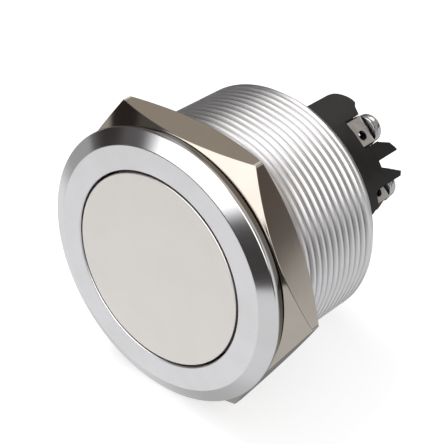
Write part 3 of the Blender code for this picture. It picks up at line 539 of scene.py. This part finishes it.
HOUSING_METAL = turned_metal(
    "turned_housing_metal", (0.67, 0.665, 0.68), (0.64, 0.635, 0.645),
    face_roughness=0.33, cut_roughness=0.13, mark_height=0.000005,
)
BUTTON_METAL = turned_metal(
    "satin_button_metal", (0.715, 0.690, 0.662), (0.70, 0.673, 0.642),
    face_roughness=0.40, cut_roughness=0.30, mark_height=0.000004,
)
NUT_METAL = nickel_plating(
    "warm_nickel_plating", (0.46, 0.425, 0.38), (0.44, 0.40, 0.355), roughness=0.05
)
STRIP_METAL = plated_strip("plated_contact_strip", (0.56, 0.56, 0.565), roughness=0.30)
BRIDGE_METAL = plated_strip("bridge_copper_alloy", (0.70, 0.46, 0.26), roughness=0.32)
SCREW_METAL = bright_steel("bright_screw_steel", (0.47, 0.47, 0.48), roughness=0.10)
STEM_METAL = bright_steel("turned_stem_steel", (0.56, 0.56, 0.56), roughness=0.28)
BASE_PLASTIC = moulded_plastic(
    "black_base_moulding", (0.009, 0.0085, 0.008), (0.014, 0.0135, 0.013),
    roughness=0.42, grain_height=0.000008,
)
CARRIER_PLASTIC = moulded_plastic(
    "grey_carrier_moulding", (0.30, 0.30, 0.29), (0.36, 0.36, 0.35),
    roughness=0.5, grain_height=0.000006,
)
SEAL_RUBBER = seal_rubber(
    "black_seal_rubber", (0.013, 0.013, 0.013), (0.030, 0.029, 0.028), roughness=0.62
)


def at_depth(point):
    """Turns (x, y, depth) on the switch's axis into the frame of the solids."""
    return Vector((point[0], point[2] - FLANGE_THICKNESS, -point[1]))


def add_object(name, data):
    """A new object in the scene."""
    item = bpy.data.objects.new(name, data)
    bpy.context.scene.collection.objects.link(item)
    return item


def apply_modifiers(item):
    """Turns an object's modifiers into plain mesh."""
    bpy.context.view_layer.update()
    graph = bpy.context.evaluated_depsgraph_get()
    mesh = bpy.data.meshes.new_from_object(item.evaluated_get(graph))
    item.modifiers.clear()
    item.data = mesh
    return item


def add_bevel(item, width, angle):
    """Modifier that rounds the edges sharper than an angle."""
    bevel = item.modifiers.new("round", "BEVEL")
    bevel.width = width
    bevel.segments = BEVEL_SEGMENTS
    bevel.limit_method = "ANGLE"
    bevel.angle_limit = angle


def keep_faces_flat(item):
    """Weighs normals by face area, so that large faces stay flat beside rounded edges."""
    weighted = item.modifiers.new("flat_faces", "WEIGHTED_NORMAL")
    weighted.keep_sharp = True
    weighted.weight = FLAT_FACE_WEIGHT
    return apply_modifiers(item)


def dress(item, finish, smooth_angle):
    """Gives a mesh its finish and shades it smooth below an angle, with flat faces kept flat."""
    item.data.materials.clear()
    item.data.materials.append(finish)
    item.data.shade_smooth()
    item.data.set_sharp_from_angle(angle=smooth_angle)
    return keep_faces_flat(item)


def tidy_mesh(item, finish, smooth_angle=SMOOTH_ANGLE, merge=MERGE):
    """Merges doubles, turns faces outwards and dresses the mesh."""
    shape = bmesh.new()
    shape.from_mesh(item.data)
    bmesh.ops.remove_doubles(shape, verts=shape.verts, dist=merge)
    bmesh.ops.dissolve_degenerate(shape, edges=shape.edges, dist=merge)
    bmesh.ops.recalc_face_normals(shape, faces=shape.faces)
    shape.to_mesh(item.data)
    shape.free()
    return dress(item, finish, smooth_angle)


def new_piece(name, vertices, faces, finish, smooth_angle=SMOOTH_ANGLE):
    """An object from vertices and faces, closed, facing out and smooth below an angle."""
    mesh = bpy.data.meshes.new(name)
    mesh.from_pydata(vertices, [], faces)
    return tidy_mesh(add_object(name, mesh), finish, smooth_angle)


def add_piece(item, body, slot, *nodes):
    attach(item, body)
    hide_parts(*nodes)
    return item


def eased(profile, radius, ring=True, steps=3):
    """Rounds the corners of a (radius, depth) profile."""
    count = len(profile)
    result = []
    for i, corner in enumerate(profile):
        if not ring and i in (0, count - 1):
            result.append(corner)
            continue
        here = Vector(corner)
        before = Vector(profile[i - 1]) - here
        after = Vector(profile[(i + 1) % count]) - here
        reach = min(radius, before.length * EASE_LIMIT, after.length * EASE_LIMIT)
        start = here + before.normalized() * reach
        end = here + after.normalized() * reach
        for k in range(steps + 1):
            t = k / steps
            point = start * (1 - t) ** 2 + here * 2 * t * (1 - t) + end * t ** 2
            result.append((point.x, point.y))
    return result


def held(profile, margin):
    """Adds points close to both ends of the long stretches of a profile, so that they shade flat."""
    result = []
    for here, after in zip(profile, profile[1:] + profile[:1]):
        result.append(here)
        stretch = Vector(after) - Vector(here)
        if stretch.length > margin * HOLD_LEAST:
            step = stretch.normalized() * margin
            result += [tuple(Vector(here) + step), tuple(Vector(after) - step)]
    return result


def skin(sections, ring=True):
    """Vertices and faces through equal sections set round the axis; a ring section is closed."""
    count = len(sections[0])
    faces = []
    for i in range(len(sections)):
        left = i * count
        right = (i + 1) % len(sections) * count
        for k in range(count if ring else count - 1):
            after = (k + 1) % count
            faces.append((left + k, left + after, right + after, right + k))
    return [point for section in sections for point in section], faces


def lathe(profile, columns=COLUMNS, turn=0.0, ring=True, place=at_depth):
    """Vertices and faces of a (radius, depth) profile turned about the axis."""
    sections = []
    for i in range(columns):
        angle = turn - 2 * pi * i / columns
        sections.append([place((r * cos(angle), -r * sin(angle), depth)) for r, depth in profile])
    return skin(sections, ring)


def grow(name, build, sizes, finish):
    """Runs a geometry node tree with named inputs and returns the plain mesh object."""
    group = bpy.data.node_groups.new(name + "_tree", "GeometryNodeTree")
    for size in sizes:
        group.interface.new_socket(name=size, in_out="INPUT", socket_type="NodeSocketFloat")
    group.interface.new_socket(name="Geometry", in_out="OUTPUT", socket_type="NodeSocketGeometry")
    tree = Tree(group)
    entry = tree.node("NodeGroupInput")
    shape = build(tree, {size: entry.beside(size) for size in sizes})
    real = tree.node("GeometryNodeRealizeInstances", None, {"Geometry": shape})
    dressed = tree.node("GeometryNodeSetMaterial", None, {"Geometry": real, "Material": finish})
    tree.node("NodeGroupOutput", None, {"Geometry": dressed})
    item = add_object(name, bpy.data.meshes.new(name))
    modifier = item.modifiers.new("grow", "NODES")
    modifier.node_group = group
    for socket in group.interface.items_tree:
        if socket.in_out == "INPUT":
            modifier[socket.identifier] = float(sizes[socket.name])
    return apply_modifiers(item)


def thread_tree(tree, size):
    """Helical thread: a strip one pitch wide wound about the axis, open at both ends."""
    grid = tree.node("GeometryNodeMeshGrid", None, {
        "Size X": size["Turns"],
        "Size Y": 1.0,
        "Vertices X": size["Turns"] * COLUMNS + 1.0,
        "Vertices Y": ROWS_PER_PITCH + 1,
    })
    point = tree.node("GeometryNodeInputPosition")
    x, y, z = tree.parts(point)
    along = x + size["Turns"] * 0.5
    across = y + 0.5
    free = size["Start"] + size["Pitch"] * (along + across - 1.0)
    depth = free.most(size["Start"]).least(size["End"])
    fade = depth.step(size["Start"], size["Start"] + size["Lead in"])
    fade = fade * depth.step(size["End"] - size["Lead out"], size["End"], (1.0, 0.0))
    groove = tree.node("ShaderNodeMapRange", {"interpolation_type": "LINEAR"}, {
        "Value": tree.maths("ABSOLUTE", across - 0.5),
        "From Min": GROOVE_FLOOR,
        "From Max": GROOVE_MOUTH,
        "To Min": 1.0,
        "To Max": 0.0,
    })
    radius = size["Crest"] - size["Depth"] * groove * fade
    angle = size["First angle"] - along * (2 * pi)
    cosine = tree.maths("COSINE", angle)
    sine = tree.maths("SINE", angle)
    place = tree.vector(radius * cosine, depth - FLANGE_THICKNESS, radius * sine)
    moved = tree.node("GeometryNodeSetPosition", None, {"Geometry": grid, "Position": place})
    return tree.node("GeometryNodeMergeByDistance", None, {"Geometry": moved, "Distance": MERGE})


def first_angle():
    """Angle at which the thread strip starts, so that a groove lies where the photo shows one."""
    share = (GROOVE_PLACE - THREAD_START) / THREAD_PITCH + 0.5
    return GROOVE_ANGLE + 2 * pi * (share % 1.0)


def make_housing():
    """Flange, threaded barrel and inner web."""
    turn = first_angle()
    turns = round(((THREAD_END - THREAD_START) / THREAD_PITCH + 1.0) * COLUMNS + 1) / COLUMNS
    thread = grow("barrel_thread", thread_tree, {
        "Turns": turns,
        "Start": THREAD_START,
        "End": THREAD_END,
        "Pitch": THREAD_PITCH,
        "Crest": THREAD_RADIUS,
        "Depth": THREAD_DEPTH,
        "Lead in": THREAD_LEAD_IN,
        "Lead out": THREAD_LEAD_OUT,
        "First angle": turn,
    }, HOUSING_METAL)
    corners = [
        (THREAD_RADIUS, THREAD_START),
        (RELIEF_RADIUS, RELIEF_END),
        (RELIEF_RADIUS, FLANGE_THICKNESS),
        (PANEL_GROOVE_INSIDE, FLANGE_THICKNESS),
        (PANEL_GROOVE_INSIDE, PANEL_GROOVE_BOTTOM),
        (PANEL_GROOVE_OUTSIDE, PANEL_GROOVE_BOTTOM),
        (PANEL_GROOVE_OUTSIDE, FLANGE_THICKNESS),
        (FLANGE_REAR_RADIUS, FLANGE_THICKNESS),
        (FLANGE_RADIUS, FLANGE_SIDE_END),
        (FLANGE_RADIUS, BEZEL_CHAMFER_DEPTH),
        (FLANGE_RADIUS - BEZEL_CHAMFER_WIDTH, 0),
        (FRONT_BORE + BORE_EDGE, 0),
        (FRONT_BORE, BORE_EDGE),
        (FRONT_BORE, WEB_FRONT),
        (WEB_HOLE, WEB_FRONT),
        (WEB_HOLE, WEB_REAR),
        (REAR_BORE, WEB_REAR),
        (REAR_BORE, SHOULDER),
        (LIP_BORE, SHOULDER),
        (LIP_BORE, BARREL_END),
        (THREAD_RADIUS - END_CHAMFER_DEPTH, BARREL_END),
        (THREAD_RADIUS, THREAD_END),
    ]
    vertices, faces = lathe(eased(corners, HOUSING_EDGE, ring=False), COLUMNS, turn, ring=False)
    item = new_piece("bezel_and_barrel", vertices, faces, HOUSING_METAL)
    shape = bmesh.new()
    shape.from_mesh(item.data)
    shape.from_mesh(thread.data)
    shape.to_mesh(item.data)
    shape.free()
    bpy.data.objects.remove(thread)
    tidy_mesh(item, HOUSING_METAL, HOUSING_SMOOTH_ANGLE, HOUSING_MERGE)
    return add_piece(item, "root", "housing", "bezel_housing")


def make_cap():
    """Flush button cap."""
    corners = [
        (0, PIN_SOCKET_END),
        (PIN_SOCKET, PIN_SOCKET_END),
        (PIN_SOCKET, BOSS_DEPTH),
        (BOSS_RADIUS, BOSS_DEPTH),
        (BOSS_RADIUS, CAP_TOP),
        (CAP_INSIDE, CAP_TOP),
        (CAP_INSIDE, CAP_DEPTH),
        (CAP_RADIUS, CAP_DEPTH),
        (CAP_RADIUS, CAP_GROOVE_REAR),
        (CAP_GROOVE_RADIUS, CAP_GROOVE_REAR),
        (CAP_GROOVE_RADIUS, CAP_GROOVE_FRONT),
        (CAP_RADIUS, CAP_GROOVE_FRONT),
        (CAP_RADIUS, 0),
        (0, 0),
    ]
    vertices, faces = lathe(eased(corners, CAP_EDGE, ring=False), CAP_COLUMNS, ring=False)
    item = new_piece("flush_button_cap", vertices, faces, BUTTON_METAL)
    return add_piece(item, "button", "button", "button_cap")


def nut_reach(offset):
    """Distance of the nut's outer side from the axis, at an angle from its corner."""
    centre = (NUT_HALF_FLATS - NUT_CORNER_ROUND) / cos(pi / 6)
    flat = NUT_HALF_FLATS / cos(pi / 6 - abs(offset))
    side = centre * sin(offset)
    if abs(side) >= NUT_CORNER_ROUND:
        return flat
    return min(flat, centre * cos(offset) + (NUT_CORNER_ROUND ** 2 - side ** 2) ** 0.5)


def nut_section(angle, reach):
    """Section of the nut at an angle about the axis, out to its reach there."""
    slope = (reach - NUT_FACE_RADIUS) * NUT_CHAMFER_SLOPE
    profile = eased([
        (NUT_BORE, NUT_FRONT + NUT_BORE_EDGE),
        (NUT_BORE + NUT_BORE_EDGE, NUT_FRONT),
        (NUT_FACE_RADIUS, NUT_FRONT),
        (reach, NUT_FRONT + slope),
        (reach, NUT_REAR - slope),
        (NUT_FACE_RADIUS, NUT_REAR),
        (NUT_BORE + NUT_BORE_EDGE, NUT_REAR),
        (NUT_BORE, NUT_REAR - NUT_BORE_EDGE),
    ], NUT_EDGE_ROUND)
    lean = NUT_LEAN * cos(angle - NUT_LEAN_SIDE)
    return [
        at_depth((r * cos(angle), -r * sin(angle), depth + lean * r))
        for r, depth in held(profile, NUT_EDGE_HOLD)
    ]


def make_nut():
    """Panel nut: a hexagon with chamfered faces, cut column by column, closer at its corners."""
    near = NUT_NEAR_CORNER[-1]
    stride = NUT_HALF_SIDE - near
    steps = NUT_NEAR_CORNER + [near + stride * i / NUT_SIDE_STEPS for i in range(1, NUT_SIDE_STEPS + 1)]
    offsets = sorted({-step for step in steps} | set(steps))[1:]
    sections = []
    for corner in range(6):
        for offset in offsets:
            angle = corner * pi / 3 + radians(offset)
            sections.append(nut_section(angle, nut_reach(radians(offset))))
    item = new_piece("panel_nut", *skin(sections), NUT_METAL, NUT_SMOOTH_ANGLE)
    return add_piece(item, "root", "nut", "hex_nut")


def make_ring_seal(name, node, body, bore, section, depth):
    """Ring seal of a round section."""
    middle = bore - SEAL_GAP - section
    profile = []
    for i in range(RING_POINTS):
        angle = 2 * pi * i / RING_POINTS
        profile.append((middle + section * cos(angle), depth + section * sin(angle)))
    item = new_piece(name, *lathe(profile, RING_COLUMNS), SEAL_RUBBER)
    return add_piece(item, body, "seal", node)


def make_panel_seal():
    """Flat rubber ring behind the flange."""
    inside = PANEL_GROOVE_INSIDE + SEAL_GAP
    outside = PANEL_GROOVE_OUTSIDE - SEAL_GAP
    profile = eased([
        (inside, PANEL_SEAL_REAR),
        (outside, PANEL_SEAL_REAR),
        (outside, PANEL_SEAL_FRONT),
        (inside, PANEL_SEAL_FRONT),
    ], PANEL_SEAL_EDGE)
    item = new_piece("flat_panel_seal", *lathe(profile, PANEL_SEAL_COLUMNS), SEAL_RUBBER)
    return add_piece(item, "root", "seal", "panel_seal_ring")


def coil_tree(tree, size):
    """Wire coil about the axis, with closed end turns."""
    line = tree.node("GeometryNodeCurvePrimitiveLine", None, {
        "Start": (0.0, 0.0, 0.0), "End": (1.0, 0.0, 0.0)
    })
    count = size["Turns"] * SPRING_POINTS_PER_TURN + 1.0
    fine = tree.node("GeometryNodeResampleCurve", None, {"Curve": line, "Count": count})
    share = tree.node("GeometryNodeSplineParameter")
    turn = share * size["Turns"]
    dead = size["Dead turns"]
    close = size["Wire"] * SPRING_CLOSED_PITCH
    length = size["Rear"] - size["Front"] - size["Wire"] - close * dead * 2.0
    live = size["Turns"] - dead * 2.0
    rate = length / live
    open_turns = (turn - dead).most(0.0).least(live)
    depth = size["Front"] + size["Wire"] * 0.5 + rate * open_turns + close * (turn - open_turns)
    angle = turn * (2 * pi)
    out = size["Radius"] * tree.maths("COSINE", angle)
    side = size["Radius"] * tree.maths("SINE", angle) * -1.0
    place = tree.vector(out, depth - FLANGE_THICKNESS, side)
    path = tree.node("GeometryNodeSetPosition", None, {"Geometry": fine, "Position": place})
    wire = tree.node("GeometryNodeCurvePrimitiveCircle", None, {
        "Resolution": SPRING_WIRE_POINTS, "Radius": size["Wire"] * 0.5
    })
    inputs = {"Curve": path, "Profile Curve": wire, "Fill Caps": True}
    return tree.node("GeometryNodeCurveToMesh", None, inputs)


def make_return_spring():
    """Coil spring between the web and the cap."""
    item = grow("button_return_spring", coil_tree, {
        "Turns": SPRING_TURNS,
        "Dead turns": SPRING_DEAD_TURNS,
        "Radius": SPRING_RADIUS,
        "Wire": SPRING_WIRE,
        "Front": SPRING_FRONT,
        "Rear": SPRING_REAR,
    }, STEM_METAL)
    tidy_mesh(item, STEM_METAL)
    add_piece(item, "root", "steel", "return_spring")
    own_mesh(item)
    return item


def cut_slot(item):
    """Cuts the screwdriver slot across the head of a screw that stands on its own axis."""
    size = Vector((HEAD_RADIUS * 3, SLOT_WIDTH, SLOT_CUTTER_HEIGHT))
    middle = Vector((0, 0, HEAD_HEIGHT - SLOT_DEPTH + SLOT_CUTTER_HEIGHT / 2))
    mesh = bpy.data.meshes.new("slot_cutter")
    shape = bmesh.new()
    bmesh.ops.create_cube(shape, size=1, matrix=Matrix.LocRotScale(middle, None, size))
    shape.to_mesh(mesh)
    shape.free()
    cutter = add_object("slot_cutter", mesh)
    boolean = item.modifiers.new("slot", "BOOLEAN")
    boolean.operation = "DIFFERENCE"
    boolean.object = cutter
    boolean.solver = "EXACT"
    add_bevel(item, SLOT_EDGE, SLOT_EDGE_ANGLE)
    apply_modifiers(item)
    bpy.data.objects.remove(cutter)
    return item


def make_screw_master():
    """One slotted pan head screw on its own axis, with its head towards the rear."""
    corners = [(0, HEAD_HEIGHT)]
    for degrees in HEAD_ANGLES:
        corners.append((
            HEAD_RADIUS * sin(radians(degrees)),
            HEAD_SIDE + (HEAD_HEIGHT - HEAD_SIDE) * cos(radians(degrees)),
        ))
    corners += [
        (HEAD_RADIUS, HEAD_SIDE),
        (HEAD_RADIUS, 0),
        (SHANK_RADIUS, 0),
        (SHANK_RADIUS, SHANK_TIP - SHANK_LENGTH),
        (SHANK_RADIUS - SHANK_TIP, -SHANK_LENGTH),
        (0, -SHANK_LENGTH),
    ]
    profile = eased(corners, SCREW_EDGE, ring=False, steps=2)
    turned = lathe(profile, SCREW_COLUMNS, ring=False, place=Vector)
    return cut_slot(new_piece("screw_master", *turned, SCREW_METAL))


def fixing_tree(master, places):
    """Tree that sets a master piece on the terminals, each turned by its own angle."""
    def build(tree, size):
        info = tree.node("GeometryNodeObjectInfo", None, {"Object": master}, "Geometry")
        scale = tree.vector(size["Scale"], size["Scale"], size["Scale"])
        copies = []
        for place, turn in places:
            spot = tree.node("GeometryNodePoints", None, {"Count": 1, "Position": place})
            copies.append(tree.node("GeometryNodeInstanceOnPoints", None, {
                "Points": spot,
                "Instance": info,
                "Rotation": (-pi / 2, turn, 0.0),
                "Scale": scale,
            }))
        return tree.node("GeometryNodeJoinGeometry", None, {"Geometry": copies})
    return build


def make_screws():
    """Four terminal screws, one master set on the four terminals."""
    nodes = [f"terminal_screw_{number}" for number in range(1, 5)]
    places = []
    for node, turn in zip(nodes, SCREW_TURNS):
        low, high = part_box(node)
        middle = (low + high) / 2
        places.append(((middle.x, high.y - HEAD_HEIGHT, middle.z), radians(turn)))
    master = make_screw_master()
    item = grow("terminal_screws", fixing_tree(master, places), {"Scale": 1.0}, SCREW_METAL)
    bpy.data.objects.remove(master)
    tidy_mesh(item, SCREW_METAL, SCREW_SMOOTH_ANGLE)
    return add_piece(item, "root", "screw", *nodes)


def rounded_copy(name, node, finish, width, body, slot):
    """Copy of a solid with its flat faces joined and its edges rounded."""
    item = NODES[node].copy()
    item.data = NODES[node].data.copy()
    item.name = name
    item.parent = None
    for key in list(item.keys()):
        del item[key]
    item.matrix_world = Matrix.Identity(4)
    item.hide_render = False
    item.hide_viewport = False
    bpy.context.scene.collection.objects.link(item)
    for attribute in [a.name for a in item.data.attributes if a.name.startswith("sharp")]:
        item.data.attributes.remove(item.data.attributes[attribute])
    shape = bmesh.new()
    shape.from_mesh(item.data)
    bmesh.ops.remove_doubles(shape, verts=shape.verts, dist=COPY_MERGE)
    bmesh.ops.dissolve_limit(
        shape, angle_limit=COPY_FLAT_ANGLE, verts=shape.verts, edges=shape.edges
    )
    shape.to_mesh(item.data)
    shape.free()
    add_bevel(item, width, COPY_EDGE_ANGLE)
    apply_modifiers(item)
    dress(item, finish, COPY_SMOOTH_ANGLE)
    return add_piece(item, body, slot, node)


# Pieces that keep the form of their solid: name, solid, finish, rounding of the edges, body and slot
ROUNDED_PIECES = [
    ("moulded_base", "contact_base", BASE_PLASTIC, 0.00012, "root", "base"),
    ("terminal_no_1_strip", "terminal_no_1", STRIP_METAL, 0.00007, "root", "contact"),
    ("terminal_no_2_strip", "terminal_no_2", STRIP_METAL, 0.00007, "root", "contact"),
    ("terminal_nc_1_strip", "terminal_nc_1", STRIP_METAL, 0.00007, "root", "contact"),
    ("terminal_nc_2_strip", "terminal_nc_2", STRIP_METAL, 0.00007, "root", "contact"),
    ("clamp_washer_1", "terminal_washer_1", SCREW_METAL, 0.00006, "root", "screw"),
    ("clamp_washer_2", "terminal_washer_2", SCREW_METAL, 0.00006, "root", "screw"),
    ("clamp_washer_3", "terminal_washer_3", SCREW_METAL, 0.00006, "root", "screw"),
    ("clamp_washer_4", "terminal_washer_4", SCREW_METAL, 0.00006, "root", "screw"),
    ("moulded_carrier", "contact_carrier", CARRIER_PLASTIC, 0.00008, "button", "carrier"),
    ("moving_bridge_no", "no_bridge", BRIDGE_METAL, 0.00006, "button", "contact"),
    ("moving_bridge_nc", "nc_bridge", BRIDGE_METAL, 0.00006, "button", "contact"),
    ("plunger_stem", "button_stem", STEM_METAL, 0.00008, "button", "steel"),
    ("retaining_clip", "stem_clip", STEM_METAL, 0.00005, "button", "steel"),
]


def build_switch():
    """All the pieces of the switch; the two contact springs stay as solids, with a finish."""
    make_housing()
    make_cap()
    make_nut()
    make_panel_seal()
    make_ring_seal(
        "button_ring_seal", "button_seal_ring", "button",
        FRONT_BORE, BUTTON_SEAL_SECTION, BUTTON_SEAL_DEPTH,
    )
    make_ring_seal(
        "base_ring_seal", "base_seal_ring", "root", LIP_BORE, BASE_SEAL_SECTION, BASE_SEAL_DEPTH
    )
    make_return_spring()
    make_screws()
    for piece in ROUNDED_PIECES:
        rounded_copy(*piece)
    for name in ("no_contact_spring", "nc_contact_spring"):
        NODES[name].data.materials.clear()
        NODES[name].data.materials.append(STEM_METAL)


def make_floor():
    """Pale floor that the switch rests on, by its nut and the rear end of its barrel."""
    tree, shader, material = new_finish("pale_floor", FLOOR_COLOUR, 0.0, FLOOR_ROUGHNESS)
    shader.inputs["Specular IOR Level"].default_value = 0.0
    light_path = tree.node("ShaderNodeLightPath", None, None, "Is Camera Ray")
    feed(tree, shader, "Emission Color", tree.blend(light_path, (0, 0, 0, 1), (*BACKDROP, 1)))
    shader.inputs["Emission Strength"].default_value = FLOOR_GLOW
    mesh = bpy.data.meshes.new("floor")
    half = FLOOR_SIZE / 2
    corners = [(-half, -half, 0), (half, -half, 0), (half, half, 0), (-half, half, 0)]
    mesh.from_pydata(corners, [], [(0, 1, 2, 3)])
    touch = (0, NUT_REAR - FLOOR_TOUCH - FLANGE_THICKNESS, -NUT_HALF_FLATS)
    mesh.transform(Matrix.Translation(touch) @ Matrix.Rotation(FLOOR_TILT, 4, "X"))
    mesh.materials.append(material)
    item = add_object("floor", mesh)
    item.visible_glossy = False
    return item


def make_world():
    """White studio: even light for dull surfaces; table, dark room, window and wall for shiny ones."""
    world = bpy.data.worlds.new("studio")
    bpy.context.scene.world = world
    world.use_nodes = True
    tree = Tree(world.node_tree)
    towards = tree.node("ShaderNodeTexCoord", None, None, "Generated")

    def facing(direction):
        inputs = {0: towards, 1: tuple(Vector(direction).normalized())}
        return tree.node("ShaderNodeVectorMath", {"operation": "DOT_PRODUCT"}, inputs, "Value")

    def set_cards(sight, cards):
        for direction, width, soft, colour in cards:
            card = facing(direction).step(cos(radians(width + soft)), cos(radians(width)))
            sight = tree.blend(card, sight, (*colour, 1))
        return sight

    up = facing((0, -sin(FLOOR_TILT), cos(FLOOR_TILT)))
    behind = facing((0, 1, 0))
    wall = tree.blend(behind.step(*WINDOW_TO_WALL), (*WINDOW, 1), (*BACK_WALL, 1))
    bright = up.step(*ROOM_TOP).most(behind.step(*ROOM_REAR))
    standing = set_cards(tree.blend(bright, (*ROOM, 1), wall), STANDING_CARDS)
    table = set_cards((*TABLE, 1), TABLE_CARDS)
    above_table = (up - behind * TABLE_RISE).step(*TABLE_EDGE)
    sight = tree.blend(above_table, table, standing)
    glossy = tree.node("ShaderNodeLightPath", None, None, "Is Glossy Ray")
    even = (WORLD_LEVEL, WORLD_LEVEL, WORLD_LEVEL, 1)
    light = tree.blend(glossy, even, sight)
    seen = tree.blend(glossy.beside("Is Camera Ray"), light, (*BACKDROP, 1))
    background = tree.node("ShaderNodeBackground", None, {"Color": seen, "Strength": 1.0})
    tree.node("ShaderNodeOutputWorld", None, {"Surface": background})
    world.cycles.sampling_method = "NONE"


def add_softbox(name, place, target, size, power):
    """Square area lamp aimed at a target."""
    lamp = bpy.data.lights.new(name, "AREA")
    lamp.shape = "SQUARE"
    lamp.size = size
    lamp.energy = power
    item = add_object(name, lamp)
    item.location = place
    item.rotation_euler = (Vector(target) - Vector(place)).to_track_quat("-Z", "Y").to_euler()
    item.visible_glossy = False
    return item


def make_studio():
    """Floor, world, lamp and camera."""
    make_floor()
    make_world()
    add_softbox("key_softbox", KEY_PLACE, KEY_TARGET, KEY_SIZE, KEY_POWER)
    camera = bpy.data.cameras.new("camera")
    camera.lens = CAMERA_LENS
    camera.sensor_width = CAMERA_SENSOR
    camera.clip_start = CAMERA_CLIP
    item = add_object("camera", camera)
    item.location = CAMERA_PLACE
    item.rotation_euler = Euler(CAMERA_TURN)
    bpy.context.scene.camera = item
    bpy.context.scene.view_settings.view_transform = "Standard"


build_switch()
make_studio()
bpy.context.view_layer.update()
